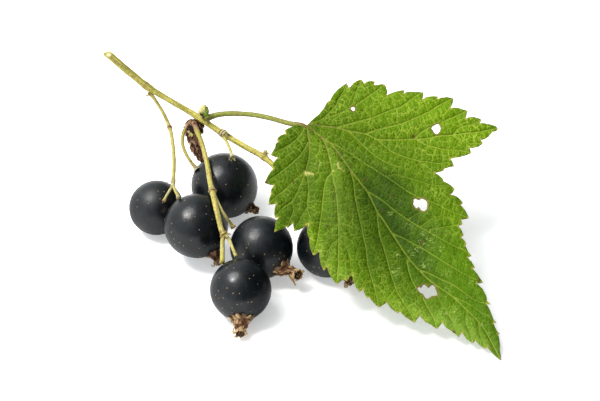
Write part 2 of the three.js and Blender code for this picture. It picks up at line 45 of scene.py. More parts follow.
BLADE_PLANE = [1.7156893920898437, 7.484102859497071, 21.0, -0.035, 0.5162]       # x0, y0, z0, slope x, slope y
BLADE_SWELLS = [
    [14.096, -6.556, -1.3, 11, 3.6, -56], [6.996, -5.656, 0.8, 9, 3.0, -86], [25.496, -13.156, 0.9, 10, 4, -74], [-2.104, -8.156, -0.7, 5, 5, 0],
    [6.496, -16.656, 0.7, 4, 4, 0], [14.496, 5.844, -0.6, 9, 2.5, -8], [22.496, 11.844, 0.6, 8, 4, 0],
]      # centre x, y, height, length, width, degrees
CURVES = {
    "main_stem": [
        [-35.131, 29.895, 20.2, 0.679], [-34.465, 29.284, 20.0, 0.679], [-32.758, 27.605, 19.5, 0.686], [-31.143, 26.064, 19.0, 0.666],
        [-29.546, 24.689, 18.5, 0.655], [-28.029, 23.322, 18.0, 0.645], [-26.385, 22.177, 17.5, 0.57], [-24.511, 21.305, 16.8, 0.524],
        [-22.465, 20.252, 16.1, 0.524], [-20.256, 19.374, 15.2, 0.523], [-18.05, 18.188, 14.4, 0.532], [-15.844, 16.856, 13.6, 0.54],
        [-14.247, 15.771, 13.1, 0.558], [-12.706, 14.702, 12.8, 0.566], [-11.462, 13.747, 12.6, 0.529], [-9.295, 11.976, 12.4, 0.518],
        [-7.254, 10.413, 12.3, 0.525], [-6.007, 9.289, 12.25, 0.542], [-4.691, 7.749, 12.1, 0.486], [-3.104, 5.444, 11.7, 0.4],
        [-1.404, 2.744, 11.1, 0.34], [0.296, 0.144, 10.0, 0.28], [1.496, -1.806, 8.7, 0.27], [2.488, -3.179, 7.144, 0.34],
    ],
    "left_strig": [
        [-27.148, 22.458, 16.9, 0.35], [-25.983, 20.819, 16.2, 0.313], [-24.544, 18.529, 15.2, 0.312], [-23.305, 15.616, 14.1, 0.347],
        [-22.669, 12.642, 13.1, 0.336], [-22.216, 8.448, 12.0, 0.343], [-22.16, 3.141, 11.3, 0.348],
    ],
    "left_ped1": [
        [-22.167, 3.722, 11.4, 0.304], [-22.224, 2.561, 11.2, 0.268], [-22.668, 1.582, 10.9, 0.231], [-23.317, 0.966, 10.0, 0.232],
        [-23.776, 0.304, 9.3, 0.294],
    ],
    "left_ped2": [
        [-22.167, 3.722, 11.4, 0.304], [-22.06, 2.58, 11.3, 0.294], [-21.758, 1.045, 11.6, 0.266], [-21.263, -0.767, 12.0, 0.265],
        [-20.893, -2.052, 12.2, 0.326],
    ],
    "middle_strig": [
        [-18.881, 17.473, 13.4, 0.495], [-18.279, 15.504, 13.1, 0.494], [-17.405, 12.914, 12.7, 0.437], [-16.679, 9.795, 12.4, 0.434],
        [-15.993, 6.064, 12.1, 0.449], [-15.496, 2.497, 11.9, 0.463], [-15.034, 0.035, 12.0, 0.514], [-14.478, -3.869, 12.6, 0.447],
        [-13.86, -6.853, 12.4, 0.444], [-13.248, -9.062, 11.2, 0.452], [-12.693, -10.119, 10.6, 0.512],
    ],
    "mid_stub": [
        [-12.871, -9.794, 10.8, 0.391], [-12.744, -10.242, 10.5, 0.39], [-12.933, -11.277, 10.0, 0.381], [-12.918, -13.178, 9.0, 0.389],
        [-12.891, -15.338, 8.8, 0.422],
    ],
    "mid_ped5": [
        [-12.764, -9.899, 10.8, 0.364], [-12.444, -10.33, 10.6, 0.347], [-11.812, -10.927, 10.2, 0.303], [-11.135, -12.666, 9.7, 0.285],
        [-10.529, -14.01, 9.0, 0.311],
    ],
    "mid_ped4": [
        [-15.037, 0.572, 11.9, 0.284], [-14.71, -0.629, 12.0, 0.283], [-14.077, -2.691, 12.0, 0.246], [-13.273, -4.561, 11.6, 0.237],
        [-12.412, -5.514, 10.5, 0.263], [-11.642, -5.437, 9.0, 0.308], [-11.154, -5.765, 8.4, 0.361],
    ],
    "curved_pedicel": [
        [-20.233, 18.163, 12.4, 0.35], [-20.86, 16.192, 12.4, 0.33], [-20.996, 14.181, 11.7, 0.311], [-20.395, 12.12, 11.1, 0.301],
        [-19.449, 10.617, 10.3, 0.291], [-18.665, 9.703, 9.8, 0.327], [-18.326, 9.258, 9.6, 0.381],
    ],
    "short_pedicel": [
        [-13.365, 14.25, 12.9, 0.292], [-12.651, 12.3, 13.0, 0.263], [-12.08, 10.135, 13.1, 0.271], [-11.846, 8.882, 13.2, 0.36],
        [-11.69, 7.864, 13.3, 0.539],
    ],
    "petiole": [
        [-16.825, 19.346, 13.3, 0.571], [-15.857, 18.779, 14.2, 0.606], [-14.362, 17.847, 15.4, 0.512], [-12.104, 16.58, 16.6, 0.501],
        [-9.886, 15.155, 17.6, 0.453], [-7.672, 13.654, 18.5, 0.451], [-4.769, 11.409, 19.5, 0.448], [-1.477, 8.754, 20.4, 0.444],
        [0.584, 7.745, 20.8, 0.443],
    ],
}           # x, y, z, radius
BERRIES = {
    "b1": [[-25.47, 3.882, 4.876], 4.976, [-0.3, 0.771, -0.561]],
    "b2": [[-17.929, -3.797, 7.169], 5.669, [0.451, -0.621, -0.641]],
    "b3": [[-13.325, 8.897, 5.943], 6.043, [0.743, -0.432, -0.512]],
    "b4": [[-6.307, -7.601, 5.469], 5.569, [0.65, -0.721, -0.24]],
    "b5": [[-9.708, -18.342, 5.234], 5.334, [0.02, -0.871, -0.491]],
    "b6": [[5.258, -7.333, 5.28], 5.38, [0.52, -0.779, -0.35]],
}         # centre, radius, axis from stalk to dried flower
CALYX_LINES = {
    "b3": [[-9.356, 6.591, 3.208], [-8.725, 6.224, 2.773], [-7.664, 5.957, 2.5], [-6.377, 5.257, 2.4]],
    "b4": [[-3.14, -11.109, 4.299], [-2.587, -11.721, 4.095], [-1.271, -11.902, 4.2], [0.146, -12.438, 3.6]],
    "b5": [[-9.615, -22.379, 2.96], [-9.598, -23.12, 2.543], [-9.616, -24.459, 1.75], [-9.786, -25.818, 1.05]],
    "b2": [[-15.689, -6.884, 3.983], [-15.306, -7.412, 3.438], [-14.819, -7.906, 2.6], [-14.186, -8.9, 1.9]],
    "b6": [[7.69, -10.981, 3.643], [8.132, -11.644, 3.346], [8.817, -12.565, 2.7], [9.521, -13.678, 2.2]],
    "b1": [[-26.755, 7.18, 2.477], [-27.011, 7.836, 2.0], [-27.477, 9.031, 1.231], [-27.867, 10.034, 0.752]],
}
BRACT_LINE = [
    [-19.916, 16.224, 12.7, 0.55], [-19.437, 14.475, 12.7, 0.913], [-18.747, 12.482, 12.3, 1.0], [-17.874, 10.411, 12.0, 0.815],
    [-17.245, 8.878, 11.7, 0.361],
]
SCALES_LINE = [[-19.012, 20.079, 12.2, 0.832], [-18.949, 18.911, 12.1, 1.245], [-19.124, 17.719, 12.0, 1.196], [-19.72, 16.951, 11.9, 0.643]]
SCALE_LOBES = [
    [[[-19.243, 17.819, 12.9], [-19.702, 18.401, 13.1], [-20.278, 18.78, 12.9], [-20.909, 18.773, 12.3]], 1.15, 0.9],
    [[[-19.244, 18.446, 12.6], [-19.559, 19.09, 12.8], [-19.996, 19.651, 12.6], [-20.38, 19.738, 12.3]], 0.95, 1.0],
    [[[-19.553, 17.855, 12.5], [-20.053, 18.335, 12.5], [-20.589, 18.541, 12.2]], 0.8, 0.5],
    [[[-18.884, 18.575, 12.5], [-18.563, 19.09, 12.8], [-18.047, 19.09, 12.8], [-17.234, 18.704, 12.4]], 1.25, 0.8],
    [[[-18.815, 19.324, 12.2], [-18.525, 19.72, 12.5], [-17.886, 19.418, 12.5]], 0.9, 1.0],
    [[[-18.493, 18.662, 12.2], [-17.926, 18.575, 12.5], [-17.11, 18.181, 12.2]], 1.3, 0.35],
    [[[-18.125, 18.447, 11.9], [-17.579, 17.83, 12.1], [-17.327, 16.78, 11.8]], 0.85, 0.7],
    [[[-18.672, 18.378, 12.0], [-17.98, 17.821, 12.2], [-17.431, 17.557, 11.8]], 1.2, 0.3],
    [[[-19.396, 18.241, 12.2], [-19.66, 17.522, 12.2], [-20.177, 17.309, 11.9]], 1.0, 0.4],
    [[[-18.846, 17.067, 13.9], [-19.125, 18.123, 13.5], [-19.504, 18.831, 13.0]], 0.6, 0.8],
    [[[-18.779, 17.136, 13.8], [-18.566, 17.943, 13.5], [-18.271, 18.41, 13.0]], 0.55, 0.6],
]        # line, width mm, how pale its edge is
SCALE_BITS = [
    [[[-20.175, 16.284, 12.7], [-19.842, 15.552, 12.9], [-19.659, 14.613, 12.8]], 0.7, 1.0, 0.0, 0.0],
    [[[-19.774, 15.671, 12.9], [-19.516, 14.781, 12.9], [-19.428, 14.268, 12.7]], 0.45, 0.8, 0.0, 0.0],
    [[[-19.492, 15.237, 13.1], [-19.241, 14.576, 13.2], [-19.164, 14.299, 13.0]], 0.42, 0.0, 1.0, 0.0],
    [[[-20.038, 16.843, 13.1], [-19.478, 16.685, 13.2], [-19.118, 15.89, 13.1]], 0.95, 0.0, 0.0, 1.08],
    [[[-19.838, 16.375, 13.0], [-19.382, 16.068, 13.1], [-19.07, 15.543, 13.0]], 0.8, 0.0, 0.0, 1.08],
    [[[-19.604, 12.602, 12.9], [-19.399, 12.076, 12.9], [-19.357, 11.851, 12.8]], 0.36, 0.75, 0.0, 0.0],
    [[[-19.084, 13.189, 12.9], [-18.768, 12.602, 12.9], [-18.542, 12.319, 12.8]], 0.34, 0.65, 0.0, 0.0],
    [[[-19.507, 13.719, 12.9], [-19.338, 13.189, 12.9], [-19.182, 12.846, 12.8]], 0.26, 0.55, 0.0, 0.0],
]        # line, width mm, how cream, how fresh, how dark (painted shade of the gap above the bits)
GREEN_BUD_LINE = [[-17.162, 17.556, 15.6, 0.457], [-17.103, 17.542, 16.3, 0.73], [-16.93, 17.515, 17.1, 0.638], [-16.743, 17.496, 17.8, 0.182]]
GLANDS = {
    "b1": [],
    "b2": [
        [-0.71, -0.484, 0.511], [-0.727, -0.627, 0.281], [-0.657, -0.747, 0.107], [-0.474, -0.878, 0.063], [-0.635, -0.765, -0.11],
        [-0.35, -0.937, -0.012], [-0.103, -0.965, 0.24], [-0.3, -0.872, -0.386], [0.146, -0.852, -0.503], [0.141, -0.987, -0.074],
        [0.306, -0.952, 0.017], [0.527, -0.845, -0.086], [0.624, -0.778, -0.075], [0.359, -0.142, 0.922], [0.537, -0.492, 0.685],
        [0.155, -0.824, 0.546], [-0.14, -0.483, 0.864], [-0.311, -0.614, 0.725], [-0.196, -0.557, 0.807], [0.023, -0.547, 0.837],
        [-0.326, 0.127, 0.937], [0.366, -0.412, 0.834],
    ],
    "b3": [
        [-0.116, -0.274, 0.955], [-0.324, 0.058, 0.944], [0.411, -0.269, 0.871], [0.086, -0.75, 0.656], [0.52, -0.818, 0.245], [0.837, -0.54, 0.083],
        [0.736, -0.508, 0.448], [0.695, -0.698, -0.17], [0.344, -0.929, -0.136], [-0.748, -0.364, 0.554], [-0.802, -0.411, 0.434],
        [-0.267, -0.549, 0.792], [0.413, -0.813, -0.41],
    ],
    "b4": [
        [-0.564, -0.744, 0.358], [-0.222, -0.887, 0.406], [0.119, -0.873, 0.472], [0.426, -0.824, 0.373], [0.565, -0.795, 0.221],
        [0.383, -0.919, 0.093], [0.507, -0.862, -0.014], [0.263, -0.891, -0.369], [0.165, -0.961, -0.221], [0.597, -0.701, 0.39],
        [0.721, -0.659, 0.213], [-0.154, 0.267, 0.951], [-0.597, 0.047, 0.801], [-0.386, -0.628, 0.676], [-0.445, -0.685, 0.577],
        [-0.223, -0.886, 0.407], [-0.552, -0.75, 0.364],
    ],
    "b5": [
        [-0.433, 0.048, 0.9], [-0.196, -0.046, 0.98], [-0.674, -0.228, 0.703], [0.307, -0.417, 0.855], [0.437, -0.271, 0.858],
        [0.568, -0.477, 0.671], [-0.409, -0.639, 0.651], [-0.689, -0.561, 0.458], [-0.215, -0.796, 0.565], [-0.012, -0.819, 0.574],
        [-0.789, -0.554, 0.266], [-0.536, -0.77, 0.346], [-0.673, -0.695, 0.251], [-0.923, -0.383, -0.034], [-0.086, -0.965, 0.246],
        [0.059, -0.962, 0.266], [0.265, -0.919, 0.291], [0.377, -0.886, 0.271], [0.728, -0.68, 0.09], [-0.249, -0.964, 0.093],
        [-0.561, -0.826, -0.041], [0.804, -0.542, -0.247], [-0.535, -0.808, -0.247], [-0.253, -0.963, -0.095], [0.338, -0.937, -0.09],
        [0.969, -0.138, 0.205], [-0.087, -0.342, 0.936],
    ],
    "b6": [],
}           # directions of the resin glands that show, from each berry's centre
LEAF_OUTLINE = [
    [0.991, 7.396], [-0.195, 7.423], [-1.061, 7.09], [-1.803, 6.731], [-2.262, 6.402], [-2.013, 5.907], [-2.964, 5.514], [-3.474, 5.067],
    [-3.613, 4.632], [-3.33, 4.537], [-3.839, 4.059], [-3.906, 3.491], [-4.202, 2.919], [-4.707, 2.188], [-4.108, 1.933], [-3.457, 1.697],
    [-3.894, 1.228], [-4.328, 0.525], [-4.43, -0.03], [-4.254, -0.191], [-4.689, -0.67], [-5.26, -1.581], [-5.69, -2.546], [-4.676, -2.818],
    [-4.082, -2.885], [-4.515, -3.478], [-4.669, -4.009], [-4.581, -4.193], [-4.872, -5.001], [-5.005, -5.962], [-3.719, -5.763],
    [-3.924, -6.503], [-3.99, -7.295], [-3.847, -8.036], [-3.344, -7.88], [-3.705, -8.644], [-3.837, -9.654], [-3.953, -10.474],
    [-3.039, -10.034], [-2.192, -9.625], [-1.829, -9.337], [-1.689, -9.703], [-1.256, -9.265], [-0.754, -8.844], [-0.684, -9.276],
    [-0.526, -10.138], [0.409, -9.966], [1.258, -9.585], [1.831, -9.339], [1.953, -9.027], [1.83, -9.595], [1.725, -10.363], [1.879, -11.176],
    [2.172, -11.652], [2.119, -12.315], [2.271, -13.327], [2.75, -14.568], [3.249, -14.458], [3.835, -14.064], [3.83, -15.076], [4.082, -16.271],
    [4.556, -17.329], [4.917, -17.126], [5.158, -16.751], [5.308, -17.481], [5.782, -18.358], [6.275, -18.949], [6.768, -19.479],
    [7.249, -19.103], [7.955, -18.638], [8.432, -18.935], [8.83, -18.509], [9.438, -17.826], [9.618, -18.719], [10.004, -19.562],
    [10.628, -20.391], [11.234, -19.896], [11.565, -20.695], [12.002, -21.246], [12.278, -21.06], [13.051, -21.944], [13.926, -22.656],
    [14.616, -22.269], [15.307, -21.833], [15.973, -22.7], [17.133, -23.505], [17.497, -23.222], [18.499, -24.111], [19.994, -24.954],
    [20.436, -24.335], [20.842, -23.827], [21.804, -24.77], [22.761, -25.218], [23.761, -25.89], [24.218, -25.381], [24.692, -24.893],
    [25.28, -25.647], [26.248, -26.193], [27.389, -27.103], [27.989, -26.443], [28.737, -27.408], [29.782, -28.067], [30.192, -27.557],
    [30.845, -28.255], [31.806, -28.851], [32.207, -28.602], [33.131, -29.61], [34.411, -30.564], [34.474, -29.934], [34.327, -29.04],
    [34.401, -28.139], [34.306, -27.224], [34.151, -26.5], [34.445, -26.395], [33.97, -25.967], [33.704, -25.42], [33.445, -24.699],
    [33.945, -24.599], [33.468, -24.156], [33.208, -23.434], [32.757, -22.353], [32.388, -21.734], [33.076, -21.726], [32.544, -21.307],
    [32.343, -20.354], [31.797, -19.378], [30.846, -18.545], [31.946, -18.277], [31.468, -17.716], [30.893, -16.941], [30.16, -16.159],
    [30.586, -15.956], [30.044, -15.147], [29.409, -14.471], [30.088, -14.055], [29.52, -13.445], [29.067, -12.547], [29.242, -12.111],
    [29.012, -11.735], [28.369, -11.18], [28.805, -10.786], [28.423, -9.837], [27.938, -9.245], [28.705, -8.897], [28.488, -8.178],
    [29.165, -7.897], [29.873, -7.683], [29.536, -6.924], [29.058, -6.138], [28.502, -5.562], [28.903, -5.171], [28.45, -4.618],
    [27.803, -4.094], [26.809, -3.876], [27.229, -3.442], [27.552, -2.779], [26.455, -1.997], [25.658, -1.645], [25.531, -1.249],
    [24.883, -0.619], [24.227, -0.247], [24.901, -0.073], [25.719, 0.16], [25.857, 0.569], [26.82, 0.888], [27.636, 1.039], [27.329, 1.831],
    [27.013, 2.366], [27.421, 2.446], [28.506, 2.662], [29.861, 3.018], [30.725, 3.431], [30.459, 4.351], [31.004, 4.26], [32.096, 4.575],
    [32.862, 5.125], [32.412, 5.832], [32.673, 5.703], [33.229, 5.855], [33.923, 6.339], [34.633, 7.151], [35.335, 7.362], [35.657, 7.804],
    [35.23, 8.221], [34.153, 8.442], [33.074, 8.641], [32.448, 8.581], [32.81, 9.177], [32.284, 9.409], [31.469, 9.572], [30.503, 9.519],
    [29.958, 9.238], [30.183, 10.074], [30.38, 10.578], [29.599, 10.747], [28.782, 10.91], [27.817, 10.942], [27.273, 10.717], [27.717, 11.725],
    [27.855, 12.588], [26.64, 12.675], [25.541, 12.487], [25.014, 12.218], [25.064, 12.675], [24.187, 12.642], [22.949, 12.459],
    [22.312, 12.026], [22.472, 12.645], [22.495, 13.377], [21.744, 13.359], [20.656, 13.402], [19.424, 13.346], [19.006, 13.051],
    [19.148, 13.708], [18.613, 13.712], [17.374, 13.392], [16.494, 13.076], [15.99, 12.831], [16.11, 13.486], [15.895, 14.266], [15.71, 14.824],
    [15.032, 14.879], [14.403, 14.749], [13.777, 14.711], [13.913, 15.35], [13.163, 15.433], [12.409, 15.279], [12.028, 14.949],
    [11.834, 15.145], [11.503, 15.732], [10.639, 15.429], [10.008, 14.988], [9.5, 14.355], [9.194, 14.225], [8.863, 15.017], [8.251, 14.631],
    [7.369, 13.937], [6.613, 13.162], [6.036, 12.29], [5.784, 11.798], [5.605, 11.794], [5.229, 11.424], [4.601, 10.337], [3.851, 9.497],
    [2.837, 8.69], [2.09, 7.94], [1.718, 7.574],
]
LEAF_HOLES = [
    [[9.404, 10.548], [9.906, 10.892], [10.311, 10.558], [10.074, 9.992]],
    [
        [23.802, 7.421], [24.005, 7.752], [24.363, 7.871], [24.724, 8.085], [25.028, 8.158], [25.252, 7.88], [25.403, 7.551], [25.338, 7.103],
        [25.081, 6.764], [24.738, 6.536], [24.508, 6.534], [24.195, 6.799], [24.096, 7.081], [23.868, 7.219],
    ],
    [
        [20.33, -4.83], [20.593, -4.716], [20.816, -4.833], [21.073, -4.985], [21.332, -5.019], [21.513, -4.789], [21.809, -4.768], [22.152, -4.937],
        [22.493, -5.173], [22.64, -5.508], [22.697, -5.894], [22.603, -6.151], [22.627, -6.498], [22.445, -6.797], [22.179, -6.999], [21.886, -6.94],
        [21.596, -6.812], [21.413, -6.544], [21.248, -6.227], [21.041, -6.207], [20.95, -6.38], [20.691, -6.352], [20.473, -6.032], [20.273, -5.716],
        [20.157, -5.508], [20.334, -5.344], [20.306, -5.077],
    ],
    [
        [20.541, -19.236], [20.888, -19.085], [21.159, -19.171], [21.294, -19.256], [21.405, -18.96], [21.67, -18.656], [21.975, -18.77],
        [22.239, -19.078], [22.488, -19.319], [22.733, -19.11], [22.997, -18.827], [23.32, -18.856], [23.566, -19.176], [23.739, -19.692],
        [23.959, -20.334], [23.954, -20.538], [23.492, -20.606], [23.151, -20.588], [22.859, -20.688], [22.509, -20.967], [22.115, -21.041],
        [21.814, -20.81], [21.652, -20.481], [21.54, -20.217], [21.285, -20.15], [21.031, -20.067], [20.769, -19.653],
    ],
]
LEAF_VEINS = [
    [
        0,
        [
            [1.841, 7.391], [3.078, 6.482], [4.33, 5.676], [5.562, 4.836], [6.544, 3.888], [7.521, 2.69], [8.376, 1.657], [9.351, 0.409],
            [10.693, -0.996], [11.96, -2.361], [12.939, -3.847], [13.924, -5.826], [15.065, -7.416], [16.347, -9.388], [17.318, -10.905],
            [18.43, -12.778], [19.69, -14.664], [20.968, -16.212], [22.396, -17.751], [23.927, -19.053], [26.418, -20.712], [29.098, -22.95],
            [30.804, -24.467], [32.298, -26.396], [33.382, -28.517], [34.289, -30.269],
        ],
    ],
    [
        2,
        [
            [5.562, 4.836], [6.549, 4.531], [8.027, 3.796], [9.503, 3.077], [10.729, 2.308], [11.968, 1.504], [13.188, 0.78], [14.403, -0.07],
            [15.859, -0.945], [17.808, -2.354], [19.285, -3.379], [20.761, -4.271], [22.737, -5.178], [24.548, -5.811], [26.199, -6.61],
            [27.847, -7.085], [29.682, -7.646],
        ],
    ],
    [3, [[15.618, -0.707], [17.092, -0.556], [18.034, -0.714], [20.556, -1.47], [23.075, -2.187], [24.822, -2.438], [26.159, -2.418], [27.36, -2.739]]],
    [
        2,
        [
            [11.959, -2.439], [13.453, -3.343], [15.11, -4.515], [16.413, -5.631], [17.728, -6.722], [19.19, -7.852], [21.136, -9.328],
            [23.059, -10.627], [25.324, -12.034], [27.292, -12.826], [28.777, -13.239], [29.916, -13.995],
        ],
    ],
    [3, [[19.346, -7.803], [20.512, -7.317], [21.516, -7.219]]], [3, [[21.29, -9.355], [22.299, -8.897], [23.296, -8.422]]],
    [3, [[22.92, -10.073], [24.738, -9.86], [26.424, -9.463], [27.733, -9.117]]],
    [
        2,
        [
            [16.517, -9.549], [18.311, -10.525], [19.936, -11.643], [21.534, -12.771], [23.308, -14.142], [25.554, -15.717], [27.655, -16.789],
            [29.126, -17.311], [31.792, -18.241],
        ],
    ],
    [2, [[20.968, -16.212], [22.421, -16.812], [24.534, -18.048], [26.858, -19.145], [29.182, -20.532], [31.114, -21.364], [32.906, -21.671]]],
    [3, [[26.418, -20.712], [28.496, -21.509], [30.687, -22.617], [32.361, -23.621], [33.792, -24.573]]],
    [
        1,
        [
            [4.207, 5.669], [4.82, 4.79], [5.358, 3.412], [5.664, 1.905], [6.021, 0.267], [6.066, -0.632], [5.182, -1.781], [4.737, -3.326],
            [4.448, -5.362], [4.213, -7.371], [3.857, -9.458], [3.554, -11.423], [3.308, -12.601], [2.802, -14.434],
        ],
    ],
    [
        2,
        [
            [6.066, -0.632], [6.333, -2.23], [6.753, -4.132], [6.958, -6.567], [7.08, -8.635], [7.141, -9.58], [7.171, -12.138], [7.103, -13.912],
            [7.085, -15.873], [6.968, -17.678], [6.769, -19.349],
        ],
    ],
    [3, [[7.171, -12.138], [6.322, -12.615], [5.627, -13.451], [5.412, -14.645], [5.164, -15.804], [4.591, -17.223]]],
    [3, [[7.171, -12.138], [7.805, -12.6], [8.489, -13.311], [8.872, -14.52], [9.152, -15.63], [9.243, -16.732]]],
    [3, [[7.141, -9.58], [5.545, -10.505]]], [3, [[7.141, -9.58], [8.627, -10.189], [9.31, -11.126]]],
    [
        2,
        [
            [9.35, 0.292], [9.862, -1.228], [10.183, -3.651], [10.715, -6.823], [11.403, -10.699], [11.947, -13.484], [12.153, -15.731],
            [12.69, -17.719], [13.163, -19.243], [13.626, -21.221], [13.894, -22.529],
        ],
    ],
    [3, [[12.914, -18.74], [13.88, -19.439], [15.035, -20.872], [16.95, -23.253]]],
    [
        2,
        [
            [13.922, -5.99], [14.05, -7.605], [14.333, -9.878], [14.956, -12.329], [15.558, -14.728], [16.014, -16.698], [16.624, -18.613],
            [17.307, -20.274], [18.544, -22.256], [19.481, -23.716], [19.946, -24.844],
        ],
    ],
    [2, [[18.873, -14.296], [19.308, -16.649], [19.911, -18.45], [20.801, -19.736]]],
    [2, [[21.519, -20.973], [22.07, -21.998], [23.187, -24.02], [23.731, -25.763]]],
    [3, [[23.44, -18.836], [24.066, -20.764], [25.181, -22.791], [26.305, -24.407], [27.23, -26.778]]],
    [3, [[28.892, -22.959], [28.728, -24.742], [29.364, -26.507], [29.72, -27.913]]],
    [3, [[30.804, -24.467], [31.049, -26.526], [31.761, -28.695]]],
    [
        1,
        [
            [2.09, 7.768], [3.33, 7.766], [4.836, 7.605], [6.077, 7.552], [7.317, 7.394], [8.805, 7.093], [10.541, 6.885], [12.17, 6.663],
            [13.527, 6.126], [14.515, 5.841], [16.426, 5.783], [18.459, 5.752], [21.023, 5.803], [22.916, 5.869], [24.818, 6.186], [27.557, 6.508],
            [29.467, 6.846], [31.375, 7.045], [33.29, 7.365], [35.462, 7.815],
        ],
    ],
    [2, [[2.267, 7.898], [3.332, 8.241], [4.594, 8.824], [5.468, 9.654], [6.595, 10.731], [7.353, 12.074], [8.24, 13.462], [8.843, 14.839]]],
    [2, [[4.718, 8.713], [5.839, 9.204], [7.334, 9.698], [8.833, 10.421], [9.208, 10.545]]],
    [2, [[10.46, 11.171], [11.34, 11.764], [12.618, 12.624], [13.754, 13.386], [15.148, 14.455], [15.619, 14.731]]],
    [3, [[9.748, 11.129], [9.969, 11.736], [10.49, 13.501], [10.878, 14.503], [11.465, 15.606]]],
    [
        2,
        [
            [7.07, 7.575], [8.937, 8.024], [10.805, 8.493], [13.189, 9.033], [15.562, 9.907], [16.813, 10.342], [18.547, 10.907], [20.481, 12.2],
            [22.005, 13.136], [22.402, 13.279],
        ],
    ],
    [
        2,
        [
            [12.171, 6.774], [13.914, 7.217], [16.027, 7.649], [18.497, 8.136], [20.138, 8.696], [21.91, 9.423], [23.419, 10.065], [24.942, 11.019],
            [26.614, 11.921], [27.745, 12.507],
        ],
    ],
    [2, [[20.901, 5.9], [21.855, 6.719], [23.091, 7.365], [23.718, 7.622]]],
    [2, [[25.602, 8.385], [26.812, 9.001], [28.457, 9.715], [30.252, 10.502]]],
    [3, [[27.558, 6.541], [28.385, 7.44], [29.506, 7.999], [31.161, 8.457], [32.701, 9.121]]],
    [2, [[8.805, 7.093], [9.915, 6.35], [11.887, 4.394], [13.346, 3.098], [14.563, 2.209], [16.146, 1.307], [17.892, 0.783]]],
    [
        2,
        [
            [14.267, 5.837], [15.116, 4.899], [16.207, 3.965], [17.18, 3.351], [19.308, 2.46], [21.32, 1.989], [22.935, 1.756], [24.956, 1.557],
            [26.582, 1.668], [27.515, 1.122],
        ],
    ],
    [3, [[21.455, 1.789], [22.222, 0.35], [23.824, -0.195]]],
    [2, [[21.023, 5.803], [22.487, 4.942], [23.975, 4.471], [26.116, 4.013], [28.268, 3.919], [30.621, 3.481]]],
    [3, [[27.556, 6.475], [28.618, 5.869], [29.94, 5.174], [31.301, 5.086], [32.685, 5.121]]],
    [1, [[1.717, 7.297], [1.856, 5.844], [2.083, 4.545], [2.078, 2.088], [1.777, 0.799], [1.425, -0.452]]],
    [2, [[1.425, -0.452], [1.843, -1.704], [1.927, -4.006], [1.697, -6.253], [2.267, -7.936]]],
    [3, [[1.697, -6.253], [0.826, -7.405], [0.253, -8.598], [-0.457, -9.929]]],
    [2, [[1.425, -0.452], [0.986, -1.694], [0.251, -3.301], [-0.464, -4.72], [-1.038, -5.351], [-2.482, -6.275], [-3.486, -7.399], [-3.778, -7.931]]],
    [3, [[-1.038, -5.351], [-0.618, -6.533], [-1.241, -8.227], [-1.689, -9.492]]],
    [2, [[1.425, -0.452], [0.111, -1.435], [-1.2, -2.512], [-2.49, -3.701], [-3.794, -4.676], [-4.902, -5.873]]],
    [2, [[1.854, 4.536], [1.271, 3.348], [0.408, 2.19], [-0.768, 1.041], [-2.064, -0.028], [-3.374, -0.956], [-4.524, -1.812], [-5.516, -2.457]]],
    [2, [[1.274, 6.992], [0.407, 5.632], [-0.774, 4.44], [-2.234, 3.537], [-3.533, 2.783], [-4.55, 2.244]]],
]        # order of the vein, then its line in plan

# ============================================================ numeric helpers
def lerp(a, b, t):
    return a + (b - a) * t


def smooth(e0, e1, x):
    t = np.clip((x - e0) / (e1 - e0), 0, 1)
    return t * t * (3 - 2 * t)


def rng(seed):
    return np.random.RandomState(seed)


def nz(p, scale, seed=0.0):
    """Smooth noise in -1..1 at the points p, features about 1/scale mm."""
    o = Vector((seed * 17.31, seed * 5.77, seed * 11.13))
    return np.array([noise.noise(Vector(q) * scale + o) for q in p])


def fractal(p, scale, seed=0.0, octaves=3):
    o = Vector((seed * 17.31, seed * 5.77, seed * 11.13))
    return np.array([noise.fractal(Vector(q) * scale + o, 0.6, 2.1, octaves) for q in p])


def spline(points, step):
    """Catmull-Rom through the points (any number of columns), resampled at an even step."""
    P = np.asarray(points, float)
    if len(P) == 2:
        n = max(2, int(math.ceil(np.linalg.norm((P[1] - P[0])[:3]) / step)) + 1)
        return np.array([lerp(P[0], P[1], t) for t in np.linspace(0, 1, n)])
    A = np.vstack([2 * P[0] - P[1], P, 2 * P[-1] - P[-2]])
    out = []
    for i in range(1, len(A) - 2):
        p0, p1, p2, p3 = A[i - 1 : i + 3]
        t = np.linspace(0, 1, 17)[:-1, None]
        out.append(0.5 * ((2 * p1) + (-p0 + p2) * t + (2 * p0 - 5 * p1 + 4 * p2 - p3) * t**2 + (-p0 + 3 * p1 - 3 * p2 + p3) * t**3))
    out.append(P[-1:])
    Q = np.vstack(out)
    k = 3 if P.shape[1] >= 3 else 2
    s = np.concatenate([[0], np.cumsum(np.linalg.norm(np.diff(Q[:, :k], axis=0), axis=1))])
    n = max(2, int(math.ceil(s[-1] / step)) + 1)
    g = np.linspace(0, s[-1], n)
    return np.stack([np.interp(g, s, Q[:, c]) for c in range(Q.shape[1])], 1)


def frames(C, up=(0, 0, 1)):
    """Tangent, side and normal along a centre line, with no sudden turns."""
    T = np.gradient(C, axis=0)
    T /= np.linalg.norm(T, axis=1)[:, None] + 1e-12
    N = np.zeros_like(T)
    n = np.array(up, float)
    n -= n @ T[0] * T[0]
    if np.linalg.norm(n) < 1e-4:
        n = np.array([1.0, 0, 0]) - T[0][0] * T[0]
    n /= np.linalg.norm(n)
    for i in range(len(C)):
        n = n - n @ T[i] * T[i]
        n /= np.linalg.norm(n)
        N[i] = n
    return T, np.cross(N, T), N


